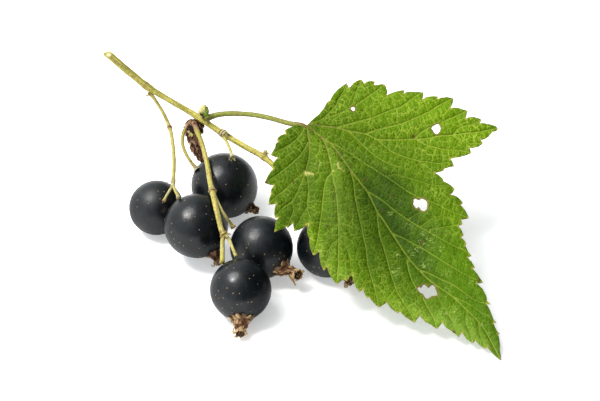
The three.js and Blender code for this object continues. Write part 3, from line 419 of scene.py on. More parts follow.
class Build:
    """Collects vertices (mm), faces, per-vertex values and face slots, and makes one object of them."""

    def __init__(self):
        self.v, self.f, self.m, self.a = [], [], [], {}

    def add(self, verts, faces, slot=0, **attrs):
        base = sum(len(x) for x in self.v)
        verts = np.asarray(verts, float)
        self.v.append(verts)
        for face in faces:
            self.f.append([int(i) + base for i in face])
            self.m.append(slot)
        for k in set(self.a) | set(attrs):
            col = self.a.setdefault(k, [])
            have = sum(len(x) for x in col)
            like = np.asarray(attrs[k], float) if k in attrs else None
            dim = like.shape[1:] if like is not None and like.ndim > 1 else (col[0].shape[1:] if col else ())
            if have < base:
                col.append(np.zeros((base - have, *dim)))
            col.append(np.broadcast_to(like, (len(verts), *dim)).copy() if like is not None else np.zeros((len(verts), *dim)))
        return base

    def object(self, name, materials, smooth_shade=True):
        V = np.vstack(self.v) * MM
        me = bpy.data.meshes.new(name)
        me.from_pydata(V.tolist(), [], self.f)
        me.update()
        for mat in materials:
            me.materials.append(mat)
        me.polygons.foreach_set("material_index", np.array(self.m, np.int32))
        me.polygons.foreach_set("use_smooth", np.full(len(self.f), smooth_shade))
        for k, col in self.a.items():
            data = np.concatenate(col)
            if data.ndim == 1:
                at = me.attributes.new(k, "FLOAT", "POINT")
                at.data.foreach_set("value", data.astype(np.float32))
            else:
                at = me.attributes.new(k, "FLOAT_VECTOR", "POINT")
                at.data.foreach_set("vector", data.astype(np.float32).ravel())
        me.validate()
        me.update()
        ob = bpy.data.objects.new(name, me)
        bpy.context.scene.collection.objects.link(ob)
        return ob


def ring_faces(n, sides, base=0):
    f = []
    for i in range(n - 1):
        for j in range(sides):
            a = base + i * sides + j
            b = base + i * sides + (j + 1) % sides
            f.append((a, b, b + sides, a + sides))
    return f


def tube(b, points, sides=14, step=0.22, slot=0, up=(0, 0, 1), radial=None, start_cap=True, end_cap=True, seed=0.0, rough=0.05, ribs=0.03, **attrs):
    """A closed tube into Build b. radial(u, s, angles, r) may reshape a ring; attrs are functions of (s, length, ring points)."""
    Q = spline(points, step)
    C, R = Q[:, :3], Q[:, 3]
    n = len(C)
    T, S, N = frames(C, up)
    seg = np.concatenate([[0], np.cumsum(np.linalg.norm(np.diff(C, axis=0), axis=1))])
    L = seg[-1]
    ang = np.arange(sides) / sides * 2 * math.pi
    V = np.zeros((n, sides, 3))
    for i in range(n):
        r = np.full(sides, R[i])
        if radial is not None:
            r = radial(seg[i] / L, seg[i], ang, r)
        V[i] = C[i] + np.outer(np.cos(ang) * r, S[i]) + np.outer(np.sin(ang) * r, N[i])
    flat = V.reshape(-1, 3)
    d = flat - np.repeat(C, sides, 0)
    dn = d / (np.linalg.norm(d, axis=1)[:, None] + 1e-9)
    if rough:
        flat = flat + dn * (nz(flat, 1.6, seed + 1) * rough + nz(flat, 4.5, seed + 2) * rough * 0.4)[:, None]
    if ribs:
        flat = flat + dn * (np.tile(np.cos(ang * 6 + seed), n) * ribs * np.repeat(R, sides))[:, None]
    faces = ring_faces(n, sides)
    faces = [tuple(reversed(f)) for f in faces]
    s_all = np.repeat(seg, sides)
    u_all = np.tile(ang, n)
    verts = [flat]
    extra = 0
    if start_cap:
        c = C[0] - T[0] * R[0] * 0.25
        verts.append(c[None])
        k = n * sides + extra
        extra += 1
        faces += [(k, j, (j + 1) % sides) for j in range(sides)]
        s_all = np.append(s_all, 0.0)
        u_all = np.append(u_all, 0.0)
    if end_cap:
        c = C[-1] + T[-1] * R[-1] * 0.25
        verts.append(c[None])
        k = n * sides + extra
        faces += [(k, (n - 1) * sides + (j + 1) % sides, (n - 1) * sides + j) for j in range(sides)]
        s_all = np.append(s_all, L)
        u_all = np.append(u_all, 0.0)
    verts = np.vstack(verts)
    at = {k: f(s_all, L, verts) if callable(f) else np.full(len(verts), float(f)) for k, f in attrs.items()}
    at["grain"] = np.stack([np.cos(u_all) * 0.45, np.sin(u_all) * 0.45, s_all * 0.12 + seed * 3.1], 1)
    b.add(verts, faces, slot, **at)
    return C, T, S, N, seg


def bump_at(s0, amp, width):
    return lambda u, s, ang, r: r * (1 + amp * math.exp(-(((s - s0) / width) ** 2)))


def ribbon(b, line, width, thick=0.06, step=0.14, across=7, curl=0.6, slot=0, up=(0, 0, 1), wave=0.12, seed=0.0, twist=0.0, jag=0.0, **attrs):
    """A thin crumpled strip with two faces and an edge: line is x, y, z with width(t) in mm, curled across by curl radians a side."""
    Q = spline(line, step)
    C = Q[:, :3]
    n = len(C)
    T, S, N = frames(C, up)
    t = np.linspace(0, 1, n)
    a = np.linspace(-1, 1, across)
    top = np.zeros((n, across, 3))
    nor = np.zeros((n, across, 3))
    for i in range(n):
        w = max(0.03, width(t[i])) / 2
        if jag:
            w *= 1 + jag * noise.noise(Vector((t[i] * 9.0, seed * 3.3, 1.7)))
        tw = twist * t[i]
        s2 = S[i] * math.cos(tw) + N[i] * math.sin(tw)
        n2 = -S[i] * math.sin(tw) + N[i] * math.cos(tw)
        k = curl if not callable(curl) else curl(t[i])
        for j, x in enumerate(a):
            th = x * k
            if abs(k) > 1e-3:
                px, pz = math.sin(th) / k * w, (1 - math.cos(th)) / k * w
            else:
                px, pz = x * w, 0
            top[i, j] = C[i] + s2 * px + n2 * pz
            nor[i, j] = n2 * math.cos(th) - s2 * math.sin(th)
    P = top.reshape(-1, 3)
    Nn = nor.reshape(-1, 3)
    h = nz(P, 2.2, seed + 5) * wave + nz(P, 5.5, seed + 6) * wave * 0.5
    P = P + Nn * h[:, None]
    edge = 1 - 0.6 * np.abs(np.tile(a, n)) ** 3
    A = P + Nn * (thick / 2 * edge)[:, None]
    B = P - Nn * (thick / 2 * edge)[:, None]
    idx = lambda i, j, s: s * n * across + i * across + j
    faces = []
    for i in range(n - 1):
        for j in range(across - 1):
            faces.append((idx(i, j, 0), idx(i, j + 1, 0), idx(i + 1, j + 1, 0), idx(i + 1, j, 0)))
            faces.append((idx(i, j, 1), idx(i + 1, j, 1), idx(i + 1, j + 1, 1), idx(i, j + 1, 1)))
        faces.append((idx(i, 0, 1), idx(i, 0, 0), idx(i + 1, 0, 0), idx(i + 1, 0, 1)))
        faces.append((idx(i, across - 1, 0), idx(i, across - 1, 1), idx(i + 1, across - 1, 1), idx(i + 1, across - 1, 0)))
    for j in range(across - 1):
        faces.append((idx(0, j, 0), idx(0, j, 1), idx(0, j + 1, 1), idx(0, j + 1, 0)))
        faces.append((idx(n - 1, j, 1), idx(n - 1, j, 0), idx(n - 1, j + 1, 0), idx(n - 1, j + 1, 1)))
    V = np.vstack([A, B])
    V[:, 2] = np.maximum(V[:, 2], 0.03)
    tt = np.tile(np.repeat(t, across), 2)
    aa = np.tile(np.tile(a, n), 2)
    at = {k: (f(tt, aa) if callable(f) else np.full(len(V), float(f))) for k, f in attrs.items()}
    length = float(np.linalg.norm(np.diff(C, axis=0), axis=1).sum())
    at["grain"] = np.stack([aa * 0.45, aa * 0.1, tt * length * 0.12 + seed * 1.7], 1)
    b.add(V, faces, slot, **at)


# ============================================================ material helpers
class Mat:
    def __init__(self, name):
        self.m = bpy.data.materials.new(name)
        self.m.use_nodes = True
        self.t = self.m.node_tree
        self.t.nodes.clear()
        self.out = self.t.nodes.new("ShaderNodeOutputMaterial")
        self.s = self.t.nodes.new("ShaderNodeBsdfPrincipled")
        self.t.links.new(self.s.outputs[0], self.out.inputs[0])

    def set(self, **kw):
        for k, v in kw.items():
            self.s.inputs[k.replace("_", " ")].default_value = v
        return self

    def node(self, kind, **props):
        n = self.t.nodes.new(kind)
        for k, v in props.items():
            setattr(n, k, v)
        return n

    def link(self, a, b):
        self.t.links.new(a, b)

    def attr(self, name, vector=False):
        n = self.node("ShaderNodeAttribute", attribute_name=name, attribute_type="GEOMETRY")
        return n.outputs["Vector" if vector else "Fac"]

    def coords(self):
        return self.node("ShaderNodeTexCoord").outputs["Object"]

    def scaled(self, vec, s):
        n = self.node("ShaderNodeMapping")
        n.inputs["Scale"].default_value = s if hasattr(s, "__len__") else (s, s, s)
        self.link(vec, n.inputs["Vector"])
        return n.outputs[0]

    def noise(self, vec, scale, detail=3.0, rough=0.55, distort=0.0):
        n = self.node("ShaderNodeTexNoise")
        n.inputs["Scale"].default_value = scale
        n.inputs["Detail"].default_value = detail
        n.inputs["Roughness"].default_value = rough
        n.inputs["Distortion"].default_value = distort
        self.link(vec, n.inputs["Vector"])
        return n.outputs["Fac"]

    def voronoi(self, vec, scale, feature="F1", rand=1.0, out="Distance"):
        n = self.node("ShaderNodeTexVoronoi", feature=feature)
        n.inputs["Scale"].default_value = scale
        n.inputs["Randomness"].default_value = rand
        self.link(vec, n.inputs["Vector"])
        return n.outputs[out]

    def ramp(self, fac, lo, hi, a=0.0, b=1.0, smoothed=True):
        n = self.node("ShaderNodeMapRange", interpolation_type="SMOOTHSTEP" if smoothed else "LINEAR")
        n.inputs["From Min"].default_value = lo
        n.inputs["From Max"].default_value = hi
        n.inputs["To Min"].default_value = a
        n.inputs["To Max"].default_value = b
        self.link(fac, n.inputs["Value"])
        return n.outputs[0]

    def math(self, op, a, b=None):
        n = self.node("ShaderNodeMath", operation=op)
        for i, x in enumerate((a, b)):
            if x is None:
                continue
            if isinstance(x, (int, float)):
                n.inputs[i].default_value = x
            else:
                self.link(x, n.inputs[i])
        return n.outputs[0]

    def mix(self, fac, a, b, mode="MIX"):
        n = self.node("ShaderNodeMix", data_type="RGBA", blend_type=mode)
        for sock, x in ((n.inputs[0], fac), (n.inputs[6], a), (n.inputs[7], b)):
            if isinstance(x, (int, float)):
                sock.default_value = x
            elif isinstance(x, tuple):
                sock.default_value = (*x, 1.0)
            else:
                self.link(x, sock)
        return n.outputs[2]

    def color(self, c):
        self.link(c, self.s.inputs["Base Color"])

    def bump(self, height, distance, strength=1.0, before=None):
        n = self.node("ShaderNodeBump")
        n.inputs["Strength"].default_value = strength
        n.inputs["Distance"].default_value = distance
        self.link(height, n.inputs["Height"])
        if before is not None:
            self.link(before, n.inputs["Normal"])
        self.link(n.outputs[0], self.s.inputs["Normal"])
        return n.outputs[0]


# Base colours are linear.
def stem_material(name, yellow, green, red, flecks=0.7, rough=0.5, long=1.0, soft=0.42, stripes=0.62):
    m = Mat(name).set(Roughness=rough)
    m.s.inputs["Specular IOR Level"].default_value = 0.20
    g = m.attr("grain", True)
    o = m.coords()
    streak = m.noise(m.scaled(g, (4.4, 4.4, 2.6 / long)), 1.0, 4.0, 0.62)
    patch = m.noise(o, 420, 2.0, 0.5)
    c = m.mix(m.ramp(streak, 0.46, 0.60, 0.0, stripes), yellow, green)
    c = m.mix(m.ramp(m.noise(m.scaled(g, (2.4, 2.4, 2.0)), 1.0, 2.0, 0.5), 0.50, 0.66, 0.0, 0.45), c, tuple(min(0.9, x * 1.28) for x in yellow))
    pale = m.ramp(m.noise(o, 2500, 2.0, 0.5), 0.53, 0.60, 0.0, 0.62)
    c = m.mix(pale, c, (0.54, 0.50, 0.22))
    c = m.mix(m.math("MULTIPLY", m.attr("green"), m.ramp(patch, 0.2, 0.55, 0.7, 1.0)), c, m.mix(m.ramp(streak, 0.40, 0.60), green, tuple(lerp(a, b, soft) for a, b in zip(green, yellow))))
    line = m.noise(m.scaled(g, (7.5, 7.5, 3.6 / long)), 1.0, 3.0, 0.65)
    c = m.mix(m.ramp(line, 0.55, 0.62, 0.0, flecks * 0.55), c, tuple(lerp(a, b, 0.30) for a, b in zip(red, yellow)))
    fl = m.noise(m.scaled(g, (4.6, 4.6, 24)), 1.0, 3.0, 0.65)
    c = m.mix(m.ramp(fl, 0.555, 0.60, 0.0, flecks), c, red)
    c = m.mix(m.attr("pink"), c, (0.37, 0.225, 0.150))
    c = m.mix(m.math("MINIMUM", m.math("MULTIPLY", m.attr("brown"), m.ramp(m.noise(o, 1500, 3.0, 0.6), 0.3, 0.58, 0.40, 1.15)), 1.0), c, (0.125, 0.050, 0.024))
    c = m.mix(m.attr("pith"), c, (0.62, 0.59, 0.42))
    c = m.mix(m.attr("dark"), c, (0.012, 0.008, 0.007))
    m.color(c)
    m.bump(m.math("ADD", streak, m.noise(o, 1800, 3.0, 0.6)), 0.00008, 0.8)
    return m.m


def leaf_material(name, under=False):
    m = Mat(name).set(Roughness=0.52 if not under else 0.75)
    m.s.inputs["Specular IOR Level"].default_value = 0.07 if not under else 0.08
    lp = m.attr("lp", True)          # blade coordinates, mm
    big = m.noise(m.scaled(lp, 0.13), 1.0, 2.0, 0.5)
    mid = m.noise(m.scaled(lp, 0.60), 1.0, 3.0, 0.6)
    fine = m.noise(m.scaled(lp, 3.4), 1.0, 3.0, 0.6)
    # the finest net of veinlets, warped a little so that no cell is regular
    warp = m.node("ShaderNodeVectorMath", operation="ADD")
    wn = m.node("ShaderNodeTexNoise")
    wn.inputs["Scale"].default_value = 1.7
    wn.inputs["Detail"].default_value = 2.0
    m.link(lp, wn.inputs["Vector"])
    wv = m.node("ShaderNodeVectorMath", operation="SCALE")
    m.link(wn.outputs["Color"], wv.inputs[0])
    wv.inputs["Scale"].default_value = 0.55
    m.link(lp, warp.inputs[0])
    m.link(wv.outputs[0], warp.inputs[1])
    net2 = m.voronoi(warp.outputs[0], 1.65, "DISTANCE_TO_EDGE")
    line2 = m.ramp(net2, 0.0, 0.15, 1.0, 0.0)
    # the blade colour follows the tone field, which holds painted light and shade as well as the leaf's own tone, with
    # random tone on top
    f = m.math("ADD", m.attr("shade"), m.math("MULTIPLY", m.math("SUBTRACT", big, 0.5), 0.20))
    f = m.math("ADD", f, m.math("MULTIPLY", m.math("SUBTRACT", mid, 0.5), 0.13))
    f = m.math("ADD", f, m.math("MULTIPLY", m.attr("cell"), 0.06))
    f = m.math("ADD", f, m.math("MULTIPLY", m.math("SUBTRACT", fine, 0.5), 0.72))
    # darker in the middle of each small cell
    cell_middle_dark = m.math("MULTIPLY", m.ramp(net2, 0.10, 0.36), m.ramp(fine, 0.40, 0.62, 1.0, 0.25))
    f = m.math("SUBTRACT", f, m.math("MULTIPLY", cell_middle_dark, m.math("MULTIPLY", m.attr("netshow"), 0.20)))
    dark, light = ((0.0210, 0.052, 0.0010), (0.131, 0.262, 0.0008)) if not under else ((0.115, 0.165, 0.050), (0.18, 0.24, 0.08))
    f01 = m.ramp(f, 0.0, 1.05, 0.0, 1.0, False)
    c = m.mix(f01, dark, light)
    if not under:
        c = m.mix(m.attr("cool"), c, m.mix(f01, (0.021, 0.060, 0.0025), (0.118, 0.276, 0.007)))
    wob = m.math("MULTIPLY", m.math("SUBTRACT", fine, 0.5), 0.05)
    # veins carry a paler green whose strength follows the blade's tone, painted light and shade included
    pale = m.mix(f01, (0.085, 0.150, 0.010), (0.440, 0.560, 0.055)) if not under else m.mix(f01, (0.30, 0.36, 0.16), (0.34, 0.40, 0.19))
    c = m.mix(m.math("MULTIPLY", line2, m.math("MULTIPLY", m.attr("netshow"), 0.16)), c, pale)
    # painted shade: a darker copy of the blade colour, laid in strips along the shaded side of the veinlets and veins
    shadow = m.mix(0.5, c, (0.010, 0.024, 0.0004)) if not under else c
    n1 = m.math("ADD", m.attr("nd1"), wob)
    n2 = m.math("ADD", m.attr("nd2"), wob)
    net1_painted_shade = m.math("MULTIPLY", m.ramp(n1, 0.14, 0.30, 1.0, 0.0), m.ramp(m.attr("ns1"), 0.05, 0.7))
    net2_painted_shade = m.math("MULTIPLY", m.ramp(n2, 0.12, 0.24, 1.0, 0.0), m.ramp(m.attr("ns2"), 0.05, 0.7))
    c = m.mix(m.math("MULTIPLY", m.math("MAXIMUM", net1_painted_shade, m.math("MULTIPLY", net2_painted_shade, 0.7)), m.math("MULTIPLY", m.attr("netshow"), 0.45)), c, shadow)
    line = m.math("MULTIPLY", m.ramp(n2, 0.022, 0.090, 1.0, 0.0), m.attr("show2"))
    line = m.math("MAXIMUM", line, m.math("MULTIPLY", m.ramp(n1, 0.030, 0.105, 1.0, 0.0), m.attr("show1")))
    c = m.mix(m.math("MULTIPLY", line, m.math("MULTIPLY", m.attr("netshow"), 0.86)), c, pale)
    vd = m.math("ADD", m.attr("vd"), m.math("MULTIPLY", wob, 0.6))
    vein_painted_shade = m.math("MULTIPLY", m.ramp(vd, 0.11, 0.27, 1.0, 0.0), m.ramp(m.attr("vside"), 0.05, 0.6))
    c = m.mix(m.math("MULTIPLY", vein_painted_shade, m.math("MULTIPLY", m.attr("vs"), 0.48)), c, shadow)
    vline = m.math("MULTIPLY", m.ramp(vd, -0.028, 0.046, 1.0, 0.0), m.attr("vs"))
    vcol = m.mix(f01, (0.125, 0.190, 0.012), (0.385, 0.475, 0.058)) if not under else (0.38, 0.42, 0.20)
    c = m.mix(vline, c, vcol)
    redline = m.math("MULTIPLY", m.ramp(vd, -0.10, 0.01, 1.0, 0.0), m.math("MULTIPLY", m.attr("red"), m.ramp(m.noise(m.scaled(lp, 0.9), 1.0, 3.0, 0.7), 0.36, 0.56)))
    c = m.mix(redline, c, (0.205, 0.098, 0.066))
    edge = m.math("MULTIPLY", m.ramp(m.math("ADD", m.attr("dm"), m.math("MULTIPLY", wob, 1.2)), 0.01, 0.10, 1.0, 0.0), m.ramp(mid, 0.42, 0.56, 0.15, 0.9))
    c = m.mix(edge, c, (0.33, 0.345, 0.05))
    c = m.mix(m.attr("tip"), c, (0.47, 0.42, 0.075))
    # painted sheen: a pale grey-green wash over the blade
    c = m.mix(m.math("MULTIPLY", m.attr("haze"), m.ramp(mid, 0.35, 0.6, 0.45, 0.75)), c, (0.27, 0.355, 0.085))
    sc = m.noise(m.scaled(lp, (2.1, 3.3, 1.0)), 1.0, 4.0, 0.7, 0.9)
    sel = m.noise(m.scaled(lp, 1.3), 1.0, 1.0, 0.5)
    fleck = m.math("MULTIPLY", m.ramp(sc, 0.528, 0.590), m.ramp(sel, 0.39, 0.54))
    c = m.mix(m.math("MULTIPLY", m.math("MULTIPLY", m.attr("scar"), fleck), 0.72), c, (0.345, 0.450, 0.105))
    rare = m.math("MULTIPLY", m.ramp(m.noise(m.scaled(lp, 1.9), 1.0, 3.0, 0.7), 0.69, 0.73), 0.5)
    c = m.mix(rare, c, (0.30, 0.38, 0.10))
    c = m.mix(m.attr("yellow"), c, (0.46, 0.43, 0.12))
    c = m.mix(m.attr("rim"), c, (0.22, 0.120, 0.045))
    c = m.mix(m.attr("spot"), c, (0.085, 0.024, 0.014))
    m.color(c)
    m.link(m.ramp(mid, 0.3, 0.7, 0.46 if not under else 0.7, 0.60 if not under else 0.82), m.s.inputs["Roughness"])
    h = m.math("MULTIPLY", m.ramp(net2, 0.0, 0.30, 0.0, 1.0), 0.6)
    h = m.math("ADD", h, m.math("MULTIPLY", fine, 0.6))
    m.bump(h, 0.00011 if not under else 0.00008, 0.8)
    return m.m


def berry_material(name, seed=0.0, gloss=0.30, grain=0.00003, centre=(0, 0, 0), radius=5.0, right_side_painted_shade=0.6):
    m = Mat(name).set(Roughness=0.30)
    m.s.inputs["Specular IOR Level"].default_value = 0.040
    m.s.inputs["Coat IOR"].default_value = 1.42
    m.s.inputs["Coat Roughness"].default_value = gloss
    o = m.coords()
    xyz = m.node("ShaderNodeSeparateXYZ")
    m.link(o, xyz.inputs[0])
    # painted shade: the coat's gloss is cut down at the far left, towards the right side and towards the bottom, so
    # these parts reflect less of the bright room and floor
    side = m.math("MULTIPLY", m.math("SUBTRACT", xyz.outputs[0], centre[0] / 1000), 1000 / radius)
    painted_shade_coat_weight = m.math("MULTIPLY", m.ramp(side, -0.95, -0.45, 0.28, 0.97), m.ramp(side, -0.05, 0.80, 1.0, 1.0 - 0.86 * right_side_painted_shade))
    up = m.math("MULTIPLY", m.math("SUBTRACT", xyz.outputs[2], centre[2] / 1000), 1000 / radius)
    painted_shade_coat_weight = m.math("MULTIPLY", painted_shade_coat_weight, m.ramp(up, -0.75, 0.48, 0.16, 1.02))
    m.link(painted_shade_coat_weight, m.s.inputs["Coat Weight"])
    mp = m.node("ShaderNodeMapping")
    mp.inputs["Location"].default_value = (seed * 0.031, seed * 0.017, seed * 0.023)
    m.link(o, mp.inputs["Vector"])
    o = mp.outputs[0]
    bloom = m.noise(o, 210, 4.0, 0.62)
    rub = m.noise(m.scaled(o, (1.0, 1.0, 0.55)), 900, 3.0, 0.6)
    micro = m.noise(o, 5200, 2.0, 0.5)
    c = m.mix(m.ramp(bloom, 0.34, 0.66, 0.15, 1.0), (0.0011, 0.0020, 0.0027), (0.0040, 0.0064, 0.0081))
    c = m.mix(m.math("MULTIPLY", m.ramp(rub, 0.48, 0.66), 0.45), c, (0.012, 0.017, 0.021))
    c = m.mix(m.ramp(micro, 0.66, 0.80, 0.0, 0.30), c, (0.05, 0.053, 0.050))
    c = m.mix(m.attr("endcap"), c, (0.020, 0.013, 0.010))
    m.color(c)
    r = m.ramp(bloom, 0.3, 0.7, 0.40, 0.52)
    m.link(r, m.s.inputs["Roughness"])
    m.bump(m.math("ADD", m.math("MULTIPLY", micro, 0.8), m.math("MULTIPLY", rub, 1.6)), 0.00005, 0.7)
    cb = m.node("ShaderNodeBump")
    cb.inputs["Distance"].default_value = grain
    cb.inputs["Strength"].default_value = 1.0
    m.link(m.math("ADD", rub, m.math("MULTIPLY", micro, 0.12)), cb.inputs["Height"])
    m.link(cb.outputs[0], m.s.inputs["Coat Normal"])
    return m.m


def gland_material(name):
    m = Mat(name).set(Roughness=0.55)
    o = m.coords()
    v = m.voronoi(o, 900, "F1", 1.0, "Color")
    n = m.noise(o, 6000, 2.0, 0.5)
    c = m.mix(v, (0.24, 0.105, 0.030), (0.27, 0.175, 0.075))
    c = m.mix(m.ramp(n, 0.3, 0.7, 0.0, 0.5), c, (0.20, 0.17, 0.11))
    m.color(c)
    return m.m


def dry_material(name, dark, mid, light, light_amount=0.5, flecks=0.0, patch=(480, 0.44, 0.64)):
    m = Mat(name).set(Roughness=0.72)
    m.s.inputs["Specular IOR Level"].default_value = 0.25
    g = m.attr("grain", True)
    o = m.coords()
    st = m.noise(m.scaled(g, (9, 9, 4)), 1.0, 4.0, 0.65)
    pa = m.noise(o, patch[0], 3.0, 0.65)
    c = m.mix(m.ramp(st, 0.40, 0.57), dark, mid)
    c = m.mix(m.math("MULTIPLY", m.ramp(pa, patch[1], patch[2]), light_amount), c, light)
    # paler where the 'pale' value asks: painted highlight on the dried flowers' fold ridges, and the pale edges of
    # scales
    c = m.mix(m.math("MULTIPLY", m.attr("pale"), m.ramp(st, 0.30, 0.58, 0.45, 1.0)), c, light)
    c = m.mix(m.math("MULTIPLY", m.ramp(m.noise(o, 1700, 2.0, 0.6), 0.585, 0.63), flecks), c, (0.30, 0.20, 0.105))
    # darker where the 'dark' value asks: painted shade in the dried flowers' folds, inside their tubes and on flowers
    # in shade, painted shade strips for the gap between bud scales, and the darker parts of scales and bract
    c = m.mix(m.math("MULTIPLY", m.attr("dark"), 0.92), c, dark)
    c = m.mix(m.math("MULTIPLY", m.attr("cream"), m.ramp(st, 0.36, 0.56, 0.25, 0.85)), c, (0.50, 0.375, 0.205))
    c = m.mix(m.math("MULTIPLY", m.attr("fresh"), m.ramp(st, 0.36, 0.56, 0.45, 0.9)), c, (0.38, 0.42, 0.085))
    m.color(c)
    m.bump(m.math("ADD", st, m.noise(o, 2300, 3.0, 0.6)), 0.00010, 1.0)
    return m.m


MAT_STEM = stem_material("stem_bark", (0.50, 0.450, 0.078), (0.155, 0.165, 0.016), (0.215, 0.118, 0.055), 0.72, 0.5, 1.6)
MAT_STRIG = stem_material("strig_skin", (0.525, 0.470, 0.112), (0.215, 0.220, 0.022), (0.22, 0.098, 0.048), 0.95)
MAT_PETIOLE = stem_material("petiole_skin", (0.255, 0.280, 0.036), (0.125, 0.175, 0.016), (0.20, 0.105, 0.060), 0.95)
MAT_LEAF = leaf_material("leaf_top")
MAT_UNDER = leaf_material("leaf_underside", True)
MAT_GLAND = gland_material("resin_gland")
MAT_CALYX = dry_material("dried_flower", (0.030, 0.0105, 0.0052), (0.225, 0.098, 0.048), (0.66, 0.47, 0.230), 0.42, 0.0, (620, 0.50, 0.64))
MAT_SCALE = dry_material("dry_scale", (0.010, 0.0038, 0.0024), (0.078, 0.027, 0.0105), (0.36, 0.175, 0.085), 0.34, 0.45, (700, 0.53, 0.64))
MAT_BUD = stem_material("bud_skin", (0.60, 0.54, 0.190), (0.130, 0.300, 0.006), (0.30, 0.20, 0.06), 0.22, 0.5, 1.0, 0.14, 0.12)


def finish(piece, slot, *nodes):
    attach(piece, "root")
    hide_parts(*nodes)
    return piece


# ============================================================ leaf blade
def blade_height(x, y):
    x0, y0, z0, sx, sy = BLADE_PLANE
    z = z0 + sx * (x - x0) + sy * (y - y0)
    for cx, cy, h, l, w, deg in BLADE_SWELLS:
        c, s = math.cos(math.radians(deg)), math.sin(math.radians(deg))
        p = ((x - cx) * c + (y - cy) * s) / l
        q = (-(x - cx) * s + (y - cy) * c) / w
        z = z + h * np.exp(-(p * p + q * q))
    return z


def inside(P, poly):
    poly = np.asarray(poly)
    x, y = P[:, 0], P[:, 1]
    r = np.zeros(len(P), bool)
    x1, y1 = poly[:, 0], poly[:, 1]
    x2, y2 = np.roll(x1, -1), np.roll(y1, -1)
    for a, b, c, d in zip(x1, y1, x2, y2):
        if b == d:
            continue
        hit = (b > y) != (d > y)
        r ^= hit & (x < (c - a) * (y - b) / (d - b) + a)
    return r


def seg_dist(P, A, B):
    """Distance from points to segments, and the nearest segment and the place along it."""
    best = np.full(len(P), 1e9)
    which = np.zeros(len(P), int)
    place = np.zeros(len(P))
    for k, (a, b) in enumerate(zip(A, B)):
        d = b - a
        L2 = d @ d + 1e-12
        lo = np.minimum(a, b) - 3.0
        hi = np.maximum(a, b) + 3.0
        m = np.where((P[:, 0] > lo[0]) & (P[:, 0] < hi[0]) & (P[:, 1] > lo[1]) & (P[:, 1] < hi[1]))[0]
        if not len(m):
            continue
        q = P[m] - a
        t = np.clip((q @ d) / L2, 0, 1)
        r = np.hypot(*(q - t[:, None] * d).T)
        better = r < best[m]
        mm = m[better]
        best[mm] = r[better]
        which[mm] = k
        place[mm] = t[better]
    return best, which, place


def loop_points(pts, step, closed=True):
    out = []
    n = len(pts)
    for i in range(n if closed else n - 1):
        a, b = np.array(pts[i]), np.array(pts[(i + 1) % n])
        k = max(1, int(round(np.linalg.norm(b - a) / step)))
        for j in range(k):
            out.append(a + (b - a) * j / k)
    return out


def round_loop(pts, times=2):
    P = np.array(pts, float)
    for _ in range(times):
        Q = np.roll(P, -1, 0)
        P = np.stack([P * 0.75 + Q * 0.25, P * 0.25 + Q * 0.75], 1).reshape(-1, 2)
    return P


SPACING = 0.27
VEIN_HALF = {0: (0.150, 0.070), 1: (0.120, 0.060), 2: (0.100, 0.055), 3: (0.080, 0.050)}
LEAF_SPOTS = [
    [20.489, 6.246, 0.3], [11.967, -0.911, 0.22], [-0.711, -2.092, 0.22], [-1.788, -5.606, 0.18], [5.181, -9.764, 0.24], [9.711, -10.722, 0.2],
    [14.857, -5.693, 0.17], [16.649, -3.97, 0.15], [21.661, -11.832, 0.26], [23.584, -10.599, 0.18], [25.003, -10.888, 0.15],
    [9.35, 1.251, 0.12], [26.596, -26.407, 0.3], [-5.471, -2.413, 0.34], [31.181, -17.924, 0.28], [27.097, 1.222, 0.2],
]        # x, y, radius
LEAF_SCARS = [
    [7.518, 0.456, 1.5, 1.0], [3.733, 0.675, 1.0, 0.8], [3.897, 3.266, 0.8, 0.8], [17.08, -13.713, 1.2, 1], [17.006, -16.539, 1.4, 1],
    [19.575, -8.658, 1.2, 0.9], [20.367, -12.993, 1.6, 1], [22.462, -11.633, 2.2, 1], [22.218, -15.498, 1.6, 1], [24.635, -13.149, 1.3, 0.9],
    [16.194, -6.357, 0.7, 0.8], [12.543, -8.6, 0.7, 0.9], [11.127, -2.715, 0.6, 0.7], [14.338, -16.17, 0.7, 0.9], [26.0, -16.999, 0.8, 0.7],
    [29.521, -18.394, 1.0, 0.9], [25.932, -19.37, 1.0, 0.9], [24.928, -23.576, 1.5, 1], [25.606, -25.333, 1.2, 1], [27.143, -23.078, 1.4, 1],
    [29.278, -25.163, 1.3, 0.9], [16.878, -22.16, 1.3, 0.9], [17.618, -21.999, 0.9, 0.8], [13.843, -11.272, 0.8, 0.7],
    [25.902, -10.841, 1.2, 0.5], [23.849, -9.699, 1.2, 0.5], [31.395, -23.71, 0.9, 0.6], [2.368, -0.765, 0.9, 1.0], [8.732, 0.278, 0.8, 0.7],
    [30.036, -20.539, 1.0, 0.5], [19.618, -24.444, 1.0, 0.5], [25.161, -20.646, 0.5, 0.9], [24.976, -21.967, 0.4, 0.8],
    [29.138, -20.751, 0.6, 1.0], [26.048, -23.384, 0.5, 0.7], [26.782, -25.202, 0.5, 0.7], [28.834, -27.718, 0.6, 1.0],
    [25.101, -27.416, 0.5, 0.7], [32.465, -26.381, 0.5, 0.8], [32.103, -28.023, 0.4, 0.7], [22.65, -15.836, 0.7, 0.8],
    [23.412, -14.755, 0.6, 0.8], [24.936, -23.595, 1.0, 0.95], [27.334, -22.537, 1.1, 0.9], [27.036, -24.41, 1.0, 0.9],
    [29.253, -24.369, 1.1, 0.85], [31.617, -25.086, 1.0, 0.8], [29.083, -26.748, 1.2, 0.6], [32.714, -23.379, 0.8, 0.7],
    [29.471, -18.284, 0.9, 0.8], [25.913, -19.293, 0.9, 0.85], [25.72, -17.085, 1.0, 0.7], [22.086, -15.29, 1.0, 0.8],
    [28.164, -26.301, 0.9, 0.7],
]        # x, y, radius, strength
